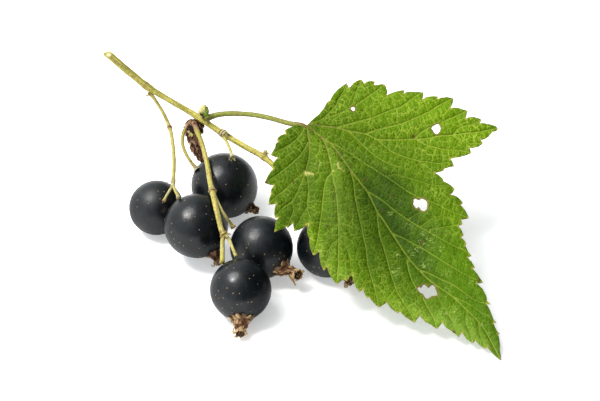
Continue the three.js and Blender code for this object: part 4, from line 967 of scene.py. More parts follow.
# painted sheen: pale grey-green patches where the blade reflects the bright room; x, y, long radius, short radius,
# degrees, strength
PAINTED_SHEEN = [
    [29.321, -27.208, 7, 1.6, -33, 0.4], [22.623, -24.119, 6, 1.2, -22, 0.28], [31.825, -28.379, 3, 1.2, -40, 0.35],
    [5.639, -16.515, 4, 1.2, -60, 0.2], [7.112, -4.947, 6, 1.4, -86, 0.22], [9.553, -5.86, 5, 1.2, -75, 0.14],
    [8.199, -18.129, 4, 1.0, -30, 0.22],
]
COOL = [[29.85, -22.048, 15, 9, -58, 0.6], [23.093, -19.645, 9, 5, -35, 0.25], [22.051, -13.98, 6, 4, -55, 0.15]]
YELLOW_MARKS = [
    [[1.342, -0.551], [2.791, -0.954], 0.16], [[6.175, -0.5], [6.478, -0.403], 0.09], [[7.097, 0.966], [7.272, 0.183], 0.13],
    [[7.272, 0.183], [8.058, -0.129], 0.11], [[1.221, -0.119], [1.583, -1.099], 0.12],
]
LEAF_TONES_AND_PAINTED_LIGHT = [
    [16.496, -6.143, 7, 3.5, -45, -0.12], [10.74, -8.156, 9, 3.0, -65, -0.2], [16.364, -12.497, 6, 3, -55, -0.12],
    [12.787, -11.487, 8, 2.5, -65, -0.1], [-0.946, -5.685, 4, 3, 0, -0.1], [-2.464, -0.815, 5, 3, 60, -0.04], [24.921, 4.361, 9, 6, 0, 0.42],
    [15.827, 6.475, 8, 3.2, 0, 0.3], [28.372, -9.297, 6, 3.2, -60, 0.25], [6.763, -16.462, 5, 3, -60, 0.26], [4.436, -9.798, 5, 1.8, -80, 0.22],
    [5.688, -0.907, 4, 2.2, -70, 0.08], [28.512, -21.727, 9, 4, -50, 0.12], [18.207, -21.98, 6, 2, -35, 0.26],
    [31.799, -28.305, 5, 2, -55, 0.22], [3.296, 4.945, 3, 2, -80, 0.15], [15.617, -18.973, 5, 2, -60, 0.04], [29.606, -16.141, 5, 2, -60, 0.12],
    [20.306, 2.749, 6, 3, -20, 0.08], [21.833, 10.737, 13, 1.8, -14, 0.24], [32.414, 7.25, 4, 2.5, 0, 0.15], [16.063, 5.356, 9, 3.5, -8, -0.13],
    [6.98, -0.564, 8, 1.0, -69, 0.16], [12.216, -4.173, 2.5, 1.5, -45, -0.15], [17.511, -10.031, 7, 1.2, -50, -0.14],
    [20.729, -12.157, 4.5, 2.5, -75, -0.28], [17.689, -0.489, 3, 1, -25, -0.1], [2.915, -11.569, 3, 1.3, -60, 0.18],
    [7.343, -17.9, 3.5, 1.3, -40, 0.15], [25.466, -25.694, 10, 1.4, -24, 0.3], [27.84, -10.849, 7, 1.3, -65, 0.12],
    [18.501, 3.866, 9, 3.6, -8, -0.24], [4.814, -11.435, 4.5, 1.5, -75, -0.24], [18.446, -20.64, 4.5, 1.5, -35, -0.16],
    [33.773, -26.576, 6, 1.8, -58, -0.2], [2.071, -1.577, 4, 1.0, -85, -0.14], [6.908, 12.151, 4.5, 1.8, 45, 0.26],
    [14.183, 10.319, 3, 1.5, 10, 0.12], [28.106, 11.581, 6, 1.2, -12, 0.12], [8.53, -3.466, 6, 1.2, -66, 0.06],
    [12.446, 0.294, 2.5, 1.0, -50, 0.15], [15.177, -13.235, 5, 1.8, -60, 0.08], [18.601, -7.103, 3, 2, -60, 0.08],
    [10.891, -10.005, 6, 1.4, -75, 0.12], [13.502, 0.68, 6.0, 1.0, -31, -0.2], [17.306, -2.112, 3.0, 0.9, -33, -0.14],
    [18.932, 0.178, 5, 1.5, -25, 0.06], [20.111, -9.075, 5, 2.2, -60, 0.1], [21.873, -14.261, 5, 2.6, -60, 0.14],
    [20.722, -18.9, 4, 2, -30, -0.08], [25.428, -21.348, 5, 2.5, -50, -0.06], [2.621, 7.452, 4, 2, -45, -0.15],
    [-0.198, -8.932, 6, 1.4, 0, -0.14], [-3.691, -4.343, 3, 2, 90, 0.12], [-3.836, -9.882, 1.6, 1, 0, 0.2], [5.149, -13.032, 6, 2.6, 80, -0.1],
    [11.166, 10.665, 4, 3, 0, 0.1], [13.714, 14.183, 6, 3, 20, 0.12], [23.648, 11.985, 12, 2, -5, 0.08], [22.986, 0.587, 9, 2.5, -5, -0.12],
    [24.268, -3.254, 6, 2, -30, -0.1], [27.891, 4.765, 6, 3, 0, 0.1], [23.162, -17.129, 7, 2.5, -30, -0.12], [28.652, -12.442, 3, 2, -80, -0.12],
    [25.165, -24.442, 3, 2, 0, 0.12], [6.479, -19.238, 4, 1.5, -30, 0.12], [14.15, -21.591, 4, 1.5, -20, 0.12],
    [12.433, -11.491, 4, 2.5, -50, 0.08], [21.873, 12.285, 6, 1.6, -14, 0.14], [12.019, -5.585, 5, 1.6, -60, 0.02],
    [19.421, -9.251, 4, 1.2, -60, 0.1], [22.389, -20.414, 4, 2.2, -30, 0.12], [28.726, -19.786, 8, 3.6, -55, 0.12],
    [24.059, -21.595, 6, 3, -50, 0.1], [17.228, 2.481, 8, 2.4, -10, 0.09], [2.568, -11.89, 4, 1.8, -75, 0.14],
    [26.669, -4.837, 5, 2.5, -50, 0.07], [21.286, -10.238, 4, 2, -50, -0.15], [22.363, -15.131, 6, 2, -65, -0.13],
    [12.068, -12.453, 5, 1.8, -75, -0.11], [7.626, 12.692, 6, 1.6, 45, -0.09], [8.884, -3.329, 8, 1.4, -66, 0.06],
    [29.605, -24.09, 6, 2, -55, 0.03], [31.39, -26.512, 5, 1.6, -58, -0.08], [22.415, 4.926, 5, 2, 0, -0.09],
    [14.039, 12.382, 4, 1.6, -10, -0.09], [7.609, -7.64, 7, 1.2, -80, 0.08], [15.278, -16.448, 5, 2, -60, 0.05],
    [17.711, -8.627, 3, 1.4, -50, 0.06], [10.816, 11.173, 3, 1.5, 20, -0.05], [24.444, -3.244, 5, 2, -40, 0.05],
]        # x, y, long radius, short radius, degrees, lighter or darker: the leaf's own tone together with painted light and shade
PAINTED_SHADE_PANEL = [
    [10.188, -0.044], [12.531, 0.889], [15.675, -1.031], [18.942, -3.306], [20.2, -4.65], [20.438, -5.924], [21.54, -7.182], [21.06, -8.518],
    [20.009, -9.141], [19.533, -10.654], [18.185, -11.274], [16.587, -9.406], [14.395, -6.462], [12.182, -3.169],
]        # painted shade: the panel between the midrib and a side vein, where the blade slopes away from the light


def vein_net(out, veins, holes, cell, seed, beside, twigs):
    """A net of small veins: cells that meet the larger veins squarely and fill the blade between them."""
    r = rng(seed)
    seeds = []
    for order, P, w in veins:
        s = np.concatenate([[0], np.cumsum(np.linalg.norm(np.diff(P, axis=0), axis=1))])
        q = 0.3
        while q < s[-1]:
            i = min(len(P) - 2, int(np.searchsorted(s, q)))
            p = np.array([np.interp(q, s, P[:, 0]), np.interp(q, s, P[:, 1])])
            t = P[min(i + 1, len(P) - 1)] - P[max(i - 1, 0)]
            t /= np.linalg.norm(t) + 1e-9
            nn = np.array([-t[1], t[0]])
            o = beside * (1 + 0.28 * r.uniform(-1, 1))
            for sgn in (-1, 1):
                c = p + nn * o * sgn
                if not seeds or np.min(np.hypot(*(np.array(seeds) - c).T)) > cell * 0.42:
                    seeds.append(c)
            q += cell * r.uniform(0.55, 1.15)
    lo, hi = out.min(0) - 1.5, out.max(0) + 1.5
    arr = np.array(seeds)
    tries = r.uniform(lo, hi, (int(9000 * (1.75 / cell) ** 2), 2))
    tries = tries[inside(tries, out)]
    for c in tries:
        if np.min((arr[:, 0] - c[0]) ** 2 + (arr[:, 1] - c[1]) ** 2) > (cell * 0.80) ** 2:
            arr = np.vstack([arr, c])
    cv, ce, cf, *_ = delaunay_2d_cdt([Vector(map(float, p)) for p in arr], [], [], 0, 1e-4)
    C = np.array([(v.x, v.y) for v in cv])
    T = [f for f in cf if len(f) == 3]
    cc, edges = [], {}
    for k, (a, b_, c) in enumerate(T):
        pa, pb, pc = C[a], C[b_], C[c]
        d = 2 * (pa[0] * (pb[1] - pc[1]) + pb[0] * (pc[1] - pa[1]) + pc[0] * (pa[1] - pb[1]))
        if abs(d) < 1e-9:
            cc.append((pa + pb + pc) / 3)
        else:
            ux = ((pa @ pa) * (pb[1] - pc[1]) + (pb @ pb) * (pc[1] - pa[1]) + (pc @ pc) * (pa[1] - pb[1])) / d
            uy = ((pa @ pa) * (pc[0] - pb[0]) + (pb @ pb) * (pa[0] - pc[0]) + (pc @ pc) * (pb[0] - pa[0])) / d
            cc.append(np.array([ux, uy]))
        for e in ((a, b_), (b_, c), (c, a)):
            edges.setdefault((min(e), max(e)), []).append(k)
    VA = np.vstack([P[:-1] for _, P, _ in veins])
    VB = np.vstack([P[1:] for _, P, _ in veins])
    lines = []

    def wavy(p, q, amount):
        L = np.linalg.norm(q - p)
        n = max(2, int(round(L / SPACING)) + 1)
        X = p + (q - p) * np.linspace(0, 1, n)[:, None]
        nn = np.array([-(q - p)[1], (q - p)[0]]) / L
        bow = r.uniform(-1, 1) * 0.07 * L
        X[1:-1] += nn * (r.uniform(-1, 1, n - 2) * amount + bow * np.sin(np.linspace(0, math.pi, n))[1:-1])[:, None]
        return X

    for (a, b_), ks in edges.items():
        if len(ks) != 2:
            continue
        p, q = cc[ks[0]], cc[ks[1]]
        L = np.linalg.norm(q - p)
        if L < 0.12 or L > 4:
            continue
        if r.uniform() < 0.10:
            # an edge that stops short leaves two cells joined
            q = p + (q - p) * r.uniform(0.3, 0.6)
        lines.append(wavy(p, q, 0.045))
        if r.uniform() < twigs and L > 0.45:
            s0 = p + (q - p) * r.uniform(0.3, 0.7)
            e0 = s0 + (C[a if r.uniform() < 0.5 else b_] - s0) * r.uniform(0.5, 0.95)
            if np.linalg.norm(e0 - s0) > 0.2:
                lines.append(wavy(s0, e0, 0.05))
    flat = np.vstack(lines)
    owner = np.concatenate([np.full(len(X), i) for i, X in enumerate(lines)])
    ok = inside(flat, out)
    for h in holes:
        ok &= ~inside(flat, np.array(h))
    dv = seg_dist(flat, VA, VB)[0]
    ok &= dv > 0.08
    keep = []
    for i, X in enumerate(lines):
        m = ok[owner == i]
        run = []
        for x, good in zip(X, m):
            if good:
                run.append(x)
            else:
                if len(run) > 1:
                    keep.append(np.array(run))
                run = []
        if len(run) > 1:
            keep.append(np.array(run))
    return arr, keep


def make_leaf():
    out = np.array(LEAF_OUTLINE, float)
    n = len(out)
    prev, nxt = np.roll(out, 1, 0), np.roll(out, -1, 0)
    e1, e2 = out - prev, nxt - out
    turn = np.arctan2(e1[:, 0] * e2[:, 1] - e1[:, 1] * e2[:, 0], (e1 * e2).sum(1))
    area = 0.5 * np.sum(out[:, 0] * nxt[:, 1] - nxt[:, 0] * out[:, 1])
    turn *= np.sign(area)
    tips = out[turn > 0.75]
    notches = out[turn < -0.55]
    loop = loop_points(out, SPACING * 0.9)
    # the holes' outlines are rounded off and resampled
    hole_loops = [loop_points(round_loop(h, 2), 0.2) for h in LEAF_HOLES]
    verts, edges = [], []

    def add_line(P, closed):
        b = len(verts)
        verts.extend([tuple(map(float, p)) for p in P])
        k = len(P)
        edges.extend([(b + i, b + (i + 1) % k) for i in range(k if closed else k - 1)])

    add_line(loop, True)
    for h in hole_loops:
        add_line(h, True)
    veins = []
    for order, pts in LEAF_VEINS:
        P = spline(pts, SPACING)
        s = np.linspace(0, 1, len(P))
        a, b = VEIN_HALF[order]
        w = a + (b - a) * s
        veins.append((order, P, w))
        inner = P[inside(P, out)]
        if len(inner) > 2:
            add_line(inner, False)
    seeds, net1 = vein_net(out, veins, hole_loops, 2.15, 23, 1.0, 0.0)
    _, net2 = vein_net(out, veins, hole_loops, 1.25, 29, 0.58, 0.35)
    for P in net1 + net2:
        add_line(P, False)
    A = np.vstack([P[:-1] for _, P, _ in veins])
    B = np.vstack([P[1:] for _, P, _ in veins])
    WA = np.concatenate([w[:-1] for _, _, w in veins])
    WB = np.concatenate([w[1:] for _, _, w in veins])
    OR = np.concatenate([np.full(len(P) - 1, o) for o, P, _ in veins])
    # points beside each vein keep its edge crisp
    side_pts = []
    for order, P, w in veins:
        T = np.gradient(P, axis=0)
        T /= np.linalg.norm(T, axis=1)[:, None] + 1e-9
        Nn = np.stack([-T[:, 1], T[:, 0]], 1)
        for sgn in (-1, 1):
            side_pts.append(P + Nn * (w * sgn)[:, None])
    side_pts = np.vstack(side_pts)
    lo, hi = out.min(0), out.max(0)
    r = rng(11)
    gx = np.arange(lo[0], hi[0], SPACING)
    gy = np.arange(lo[1], hi[1], SPACING * 0.866)
    G = np.array([(x + (SPACING / 2 if j % 2 else 0), y) for j, y in enumerate(gy) for x in gx])
    G += r.uniform(-0.18, 0.18, G.shape) * SPACING
    fixed = np.array(verts)
    tree = kdtree.KDTree(len(fixed) + len(side_pts))
    for i, p in enumerate(fixed):
        tree.insert((p[0], p[1], 0), i)
    keep_side = []
    tree_f = kdtree.KDTree(len(fixed))
    for i, p in enumerate(fixed):
        tree_f.insert((p[0], p[1], 0), i)
    tree_f.balance()
    S = side_pts[inside(side_pts, out)]
    S = np.array([p for p in S if tree_f.find((p[0], p[1], 0))[2] > 0.06])
    k = len(fixed)
    for i, p in enumerate(S):
        tree.insert((p[0], p[1], 0), k + i)
    tree.balance()
    G = G[inside(G, out)]
    G = np.array([p for p in G if tree.find((p[0], p[1], 0))[2] > SPACING * 0.52])
    allv = [Vector(v) for v in verts] + [Vector(map(float, p)) for p in S] + [Vector(map(float, p)) for p in G]
    cv, ce, cf, *_ = delaunay_2d_cdt(allv, edges, [], 0, 1e-4)
    V2 = np.array([(v.x, v.y) for v in cv])
    F = np.array([f for f in cf if len(f) == 3])
    cen = V2[F].mean(1)
    ok = inside(cen, loop)
    for h in hole_loops:
        ok &= ~inside(cen, h)
    F = F[ok]
    ar = (V2[F[:, 1]] - V2[F[:, 0]])
    br = (V2[F[:, 2]] - V2[F[:, 0]])
    cr = ar[:, 0] * br[:, 1] - ar[:, 1] * br[:, 0]
    F[cr < 0] = F[cr < 0][:, ::-1]
    F = F[np.abs(cr) > 1e-7]
    used = np.unique(F)
    remap = -np.ones(len(V2), int)
    remap[used] = np.arange(len(used))
    V2, F = V2[used], remap[F]

    # ---- fields
    d, k, t = seg_dist(V2, A, B)
    w = WA[k] * (1 - t) + WB[k] * t
    order = OR[k]
    vein = np.clip(1.35 - d / (w * 1.05), 0, 1)
    strength = np.array([1.0, 0.92, 0.78, 0.55])[order]
    big = seg_dist(V2, A[OR <= 1], B[OR <= 1])[0]
    la, lb = np.array(loop), np.roll(np.array(loop), -1, 0)
    dm = seg_dist(V2, la, lb)[0]
    dh = np.full(len(V2), 9.0)
    for h in hole_loops:
        dh = np.minimum(dh, seg_dist(V2, np.array(h), np.roll(np.array(h), -1, 0))[0])
    dedge = np.minimum(dm, dh)
    tt = kdtree.KDTree(len(tips))
    for i, p in enumerate(tips):
        tt.insert((p[0], p[1], 0), i)
    tt.balance()
    dt = np.array([tt.find((p[0], p[1], 0))[2] for p in V2])
    p3 = np.stack([V2[:, 0], V2[:, 1], np.zeros(len(V2))], 1)

    # ---- relief: the blade swells between sunken veins, puckers finely, and its edge waves a little
    fade = smooth(0.0, 1.1, dedge)
    swell = (1 - np.exp(-((d / 0.85) ** 1.6))) * (0.19 + 0.08 * nz(p3, 0.35, 3))
    groove = -0.07 * vein * strength * (0.4 + 0.6 * (order <= 1)) - 0.07 * np.exp(-((big / 0.75) ** 2))
    ct = kdtree.KDTree(len(seeds))
    for i, c in enumerate(seeds):
        ct.insert((c[0], c[1], 0), i)
    ct.balance()
    cell = np.zeros(len(V2))
    tone = r.uniform(-1, 1, len(seeds))
    for i, p in enumerate(V2):
        (c1, i1, d1), (c2, i2, d2) = ct.find_n((p[0], p[1], 0), 2)
        cell[i] = tone[i1] * min(1.0, (d2 * d2 - d1 * d1) / (2 * max(1e-6, (Vector(c2) - Vector(c1)).length)) / 0.3)
    # painted shade: every vein and veinlet gets a darker strip along one side, the shaded wall of its groove
    shady = np.array([-0.80, 0.60])

    def net_field(lines, cap):
        a_ = np.vstack([X[:-1] for X in lines])
        b_ = np.vstack([X[1:] for X in lines])
        dd, kk, tt_ = seg_dist(V2, a_, b_)
        near_p = a_[kk] + (b_[kk] - a_[kk]) * tt_[:, None]
        v = V2 - near_p
        return np.minimum(dd, cap), (v @ shady) / np.maximum(dd, 0.02), kk

    nd1, ns1, k1 = net_field(net1, 1.0)
    nd2, ns2, k2 = net_field(net2, 1.0)
    W1 = np.concatenate([np.full(len(X) - 1, r.uniform(0.70, 1.0)) for X in net1])
    W2 = np.concatenate([np.full(len(X) - 1, r.choice([0.35, 0.55, 0.75, 0.95])) for X in net2])
    show1, show2 = W1[k1], W2[k2]
    near_v = A[k] + (B[k] - A[k]) * t[:, None]
    vside = ((V2 - near_v) @ shady) / np.maximum(d, 0.02)
    pucker = (1 - np.exp(-((np.minimum(nd1, d) / 0.42) ** 1.4))) * 0.125 + (1 - np.exp(-((np.minimum(nd2, d) / 0.20) ** 1.3))) * 0.065
    wave = nz(p3, 0.16, 8) * 0.25 + 0.16 * nz(p3, 0.42, 9) * smooth(3.5, 0.0, dm)
    teeth = 0.10 * nz(p3, 1.1, 10) * smooth(1.2, 0.0, dm)
    relief = swell * (0.35 + 0.65 * fade) + groove + pucker * fade + wave * smooth(0, 2.0, dm) + teeth
    relief -= 0.30 * smooth(0.0, 1.6, dedge)
    eps = 0.02
    z0 = blade_height(V2[:, 0], V2[:, 1])
    gxn = (blade_height(V2[:, 0] + eps, V2[:, 1]) - z0) / eps
    gyn = (blade_height(V2[:, 0], V2[:, 1] + eps) - z0) / eps
    Nn = np.stack([-gxn, -gyn, np.ones(len(V2))], 1)
    Nn /= np.linalg.norm(Nn, axis=1)[:, None]
    base = np.stack([V2[:, 0], V2[:, 1], z0], 1)
    half = 0.055 + 0.085 * smooth(0.0, 0.9, dedge)
    top = base + Nn * (relief + half)[:, None]
    keel = (0.26 * (order == 0) + 0.16 * (order == 1) + 0.11 * (order == 2) + 0.07 * (order == 3)) * np.clip(1.2 - d / (w * 1.8), 0, 1) ** 0.7
    under = base + Nn * (relief - half - keel * smooth(0, 0.7, dedge))[:, None]
    low = np.minimum(top[:, 2], under[:, 2])
    lift = np.maximum(0.02 - low, 0)
    top[:, 2] += lift
    under[:, 2] += lift

    # ---- colours
    J = np.array(LEAF_VEINS[0][1][0])
    dJ = np.hypot(*(V2 - J).T)
    # tone field: the leaf's own tone plus painted light and shade, lighter where the blade faces the light and darker
    # where it turns away
    shade = np.full(len(V2), 0.40)
    for x, y, rl, rs, deg, amt in LEAF_TONES_AND_PAINTED_LIGHT:
        c_, s_ = math.cos(math.radians(deg)), math.sin(math.radians(deg))
        dx, dy = V2[:, 0] - x, V2[:, 1] - y
        shade += amt * np.exp(-(((dx * c_ + dy * s_) / rl) ** 2) - ((-dx * s_ + dy * c_) / rs) ** 2)
    panel = np.array(PAINTED_SHADE_PANEL)
    dp = seg_dist(V2, panel, np.roll(panel, -1, 0))[0] * np.where(inside(V2, panel), 1, -1)
    near_J = smooth(2.0, 13.0, np.hypot(V2[:, 0] - LEAF_VEINS[0][1][0][0], V2[:, 1] - LEAF_VEINS[0][1][0][1]))
    # painted shade over that panel, weaker near the leaf's base
    shade -= 0.30 * smooth(-0.9, 1.3, dp) * (0.25 + 0.75 * near_J)
    red = np.where(order == 0, np.clip(1.30 - dJ / 15.0, 0.22, 1), np.where(order == 1, np.clip(1.25 - dJ / 10.0, 0.12, 1), 0)) ** 1.1 * 0.9
    tip = smooth(0.52, 0.10, dt) * 0.85
    if len(notches):
        dn_ = np.min(np.hypot(V2[:, 0][:, None] - notches[:, 0], V2[:, 1][:, None] - notches[:, 1]), axis=1)
        tip = np.maximum(tip, smooth(0.36, 0.08, dn_) * 0.7)
    haze = np.zeros(len(V2))
    cool = np.zeros(len(p3))
    for x, y, rl, rs, deg, amt in COOL:
        a_ = math.radians(deg)
        dx, dy = p3[:, 0] - x, p3[:, 1] - y
        q1, q2 = dx * math.cos(a_) + dy * math.sin(a_), -dx * math.sin(a_) + dy * math.cos(a_)
        cool = np.maximum(cool, amt * np.exp(-((q1 / rl) ** 2) - (q2 / rs) ** 2))
    # painted sheen patches
    for x, y, rl, rs, deg, amt in PAINTED_SHEEN:
        c_, s_ = math.cos(math.radians(deg)), math.sin(math.radians(deg))
        dx, dy = V2[:, 0] - x, V2[:, 1] - y
        haze = np.maximum(haze, amt * np.exp(-(((dx * c_ + dy * s_) / rl) ** 2) - ((-dx * s_ + dy * c_) / rs) ** 2))
    rim = smooth(0.34, 0.05, dh) * (0.65 + 0.35 * np.clip(nz(p3, 2.5, 21) + 0.5, 0, 1))
    rim = np.maximum(rim, smooth(0.16, 0.0, dm) * 0.25 * (nz(p3, 1.3, 22) > 0.05))
    spot = np.zeros(len(V2))
    for x, y, rad in LEAF_SPOTS:
        spot = np.maximum(spot, smooth(rad * 1.15, rad * 0.45, np.hypot(V2[:, 0] - x, V2[:, 1] - y)))
    scar = np.zeros(len(V2))
    for x, y, rad, amt in LEAF_SCARS:
        scar = np.maximum(scar, amt * smooth(rad, rad * 0.35, np.hypot(V2[:, 0] - x, V2[:, 1] - y)))
    yellow = np.zeros(len(V2))
    for (ax, ay), (bx, by), wid in YELLOW_MARKS:
        yellow = np.maximum(yellow, smooth(wid * 1.4, wid * 0.5, seg_dist(V2, np.array([[ax, ay]]), np.array([[bx, by]]))[0]))
    attrs = dict(vd=np.clip(d - w, -0.4, 2.0), vs=strength * (0.72 + 0.28 * np.clip(nz(p3, 0.9, 14) + 0.6, 0, 1)), vside=vside, nd1=nd1, ns1=ns1, nd2=nd2, ns2=ns2, show1=show1, show2=show2,
                 netshow=(0.45 + 0.55 * np.clip(nz(p3, 0.25, 31) + 0.5, 0, 1)) * np.clip(0.44 + 0.95 * shade, 0.40, 1.0) * (1 - 1.15 * cool), cell=cell, haze=haze, cool=cool,
                 dm=np.clip(dm, 0, 2.0), red=red, tip=tip, rim=rim, spot=spot, scar=scar, shade=shade, yellow=yellow)

    b = Build()
    m = len(V2)
    V = np.vstack([top, under])
    Ft = F.tolist()
    at = {k: np.concatenate([v, v]) for k, v in attrs.items()}
    at["lp"] = np.vstack([p3, p3 + (0, 0, 5)])
    b.add(V, Ft, 0, **at)
    for f in Ft:
        b.f.append([f[2] + m, f[1] + m, f[0] + m])
        b.m.append(1)
    # edge strip
    e = np.vstack([F[:, [0, 1]], F[:, [1, 2]], F[:, [2, 0]]])
    key = {}
    for a_, c_ in e:
        key[(int(a_), int(c_))] = 1
    for (a_, c_) in list(key):
        if (c_, a_) not in key:
            b.f.append([a_ + m, c_ + m, c_, a_])
            b.m.append(0)
    return b.object("leaf_blade_visual", [MAT_LEAF, MAT_UNDER])


leaf = finish(make_leaf(), "leaf", "leaf_blade")

# ============================================================ berries
def make_berry(key, seed):
    centre, radius, axis = BERRIES[key]
    centre, axis = np.array(centre), np.array(axis)
    axis = axis / np.linalg.norm(axis)
    side = np.cross(axis, (0.3, 0.2, 0.93))
    side /= np.linalg.norm(side)
    other = np.cross(axis, side)
    rings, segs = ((72, 108))
    th = np.linspace(0, math.pi, rings + 1)
    verts, th_all = [centre + axis * radius * 1.0], [0.0]
    for t in th[1:-1]:
        a = np.arange(segs) / segs * 2 * math.pi
        d = math.cos(t) * axis[None] + math.sin(t) * (np.cos(a)[:, None] * side + np.sin(a)[:, None] * other)
        verts.extend(centre + d * radius)
        th_all.extend([t] * segs)
    verts.append(centre - axis * radius)
    th_all.append(math.pi)
    V, th_all = np.array(verts), np.array(th_all)
    D = (V - centre) / radius
    shape = 0.030 * np.exp(-((th_all / 0.62) ** 2)) + 0.012 * np.exp(-(((math.pi - th_all) / 0.5) ** 2))
    dent = -0.05 * np.exp(-(((math.pi - th_all) / 0.13) ** 2))
    lumps = 0.006 * nz(D, 1.3, seed) + 0.0022 * nz(D, 4.0, seed + 3)
    V = centre + D * (radius * (0.995 + shape + dent + lumps))[:, None]
    V[:, 2] = np.maximum(V[:, 2], 0.0)
    faces = [(0, 1 + (j + 1) % segs, 1 + j) for j in range(segs)]
    for i in range(rings - 2):
        for j in range(segs):
            a = 1 + i * segs + j
            c = 1 + i * segs + (j + 1) % segs
            faces.append((a, c, c + segs, a + segs))
    last = len(V) - 1
    faces += [(last, last - segs + j, last - segs + (j + 1) % segs) for j in range(segs)]
    endcap = smooth(0.40, 0.26, th_all) * 0.8 + smooth(0.16, 0.05, math.pi - th_all) * 0.8
    b = Build()
    b.add(V, faces, 0, endcap=endcap)

    # resin glands: low domes standing on the skin, thicker towards the dried flower
    r = rng(int(100 + seed * 10))
    dirs = [np.array(g) for g in GLANDS[key]]
    shown = list(dirs)
    want = 70
    while len(dirs) < len(shown) + want:
        g = r.normal(size=3)
        g /= np.linalg.norm(g)
        c = g @ axis
        if r.uniform() > 0.25 + 0.75 * smooth(-0.6, 0.9, c) or c > 0.93 or c < -0.97:
            continue
        if shown and g @ np.array([0, -0.766, 0.643]) > 0.12:
            continue
        dirs.append(g)
    tree = kdtree.KDTree(len(V))
    for i, p in enumerate(V):
        tree.insert(p, i)
    tree.balance()
    for g in dirs:
        g = g / np.linalg.norm(g)
        th_g = math.acos(max(-1, min(1, g @ axis)))
        sh = 0.030 * math.exp(-((th_g / 0.62) ** 2)) + 0.012 * math.exp(-(((math.pi - th_g) / 0.5) ** 2))
        lump = 0.006 * noise.noise(Vector(g) * 1.3 + Vector((seed * 17.31, seed * 5.77, seed * 11.13)))
        c0 = centre + g * radius * (0.995 + sh + lump)
        if c0[2] < 0.15:
            continue
        s1 = np.cross(g, (0.31, 0.52, 0.79))
        s1 /= np.linalg.norm(s1)
        s2 = np.cross(g, s1)
        rad = r.uniform(0.10, 0.15)
        hgt = r.uniform(0.025, 0.05)
        n = 8
        a = np.arange(n) / n * 2 * math.pi
        st = 1 + 0.25 * r.uniform(-1, 1, n)
        ring = lambda q, h: c0 + (np.cos(a) * st)[:, None] * s1 * rad * q + (np.sin(a) * st)[:, None] * s2 * rad * q + g * h
        P = np.vstack([ring(1.0, -0.03), ring(0.72, hgt * 0.75), (c0 + g * hgt)[None]])
        fs = [(i, (i + 1) % n, n + (i + 1) % n, n + i) for i in range(n)]
        fs += [(n + i, n + (i + 1) % n, 2 * n) for i in range(n)]
        fs.append(tuple(reversed(range(n))))
        if np.linalg.det(np.stack([s1, s2, g])) < 0:
            fs = [tuple(reversed(f)) for f in fs]
        b.add(P, fs, 1)
    return b.object("berry_%s_visual" % key[1], [berry_material("berry_skin_%s" % key[1], seed, {"b1": 0.43, "b2": 0.28, "b3": 0.31, "b4": 0.34, "b5": 0.25, "b6": 0.36}[key], {"b1": 0.00005, "b2": 0.00006, "b3": 0.00005, "b4": 0.00007, "b5": 0.00003, "b6": 0.00004}[key],
                                                                        BERRIES[key][0], BERRIES[key][1], {"b1": 0.6, "b2": 0.8, "b3": 0.45, "b4": 0.85, "b5": 1.0, "b6": 0.6}[key]), MAT_GLAND])


for i, key in enumerate(["b1", "b2", "b3", "b4", "b5", "b6"]):
    finish(make_berry(key, 1.0 + i), "berry_skin", "berry_" + key[1])

# ============================================================ dried flowers
CALYX_SHAPE = {
    # radius at the berry, at the neck, at the mouth
    "b1": (1.70, 0.82, 0.78), "b2": (1.55, 0.78, 0.74), "b3": (1.22, 0.74, 0.66), "b4": (1.85, 0.74, 0.95), "b5": (2.15, 1.02, 0.90), "b6": (1.75, 0.90, 0.85),
}


# some mouths turn upwards: how far along the neck, and where the mouth ends, from the neck
MOUTH_TURN = {"b4": ((0.85, -0.64, -0.29), (1.45, -1.45, -0.12)), "b5": (None, (-0.09, -1.12, -0.12))}


# how far each flower reaches, how it leans, and how much painted shade it carries; below zero it is painted lighter
CALYX_REACH = {"b3": 0.76, "b2": 0.92}
CALYX_LEAN = {"b2": (0.13, 0.02, 0.05)}
CALYX_PAINTED_SHADE = {"b1": 0.14, "b2": 0.30, "b3": 0.34, "b4": -0.28, "b5": -0.30, "b6": 0.1}


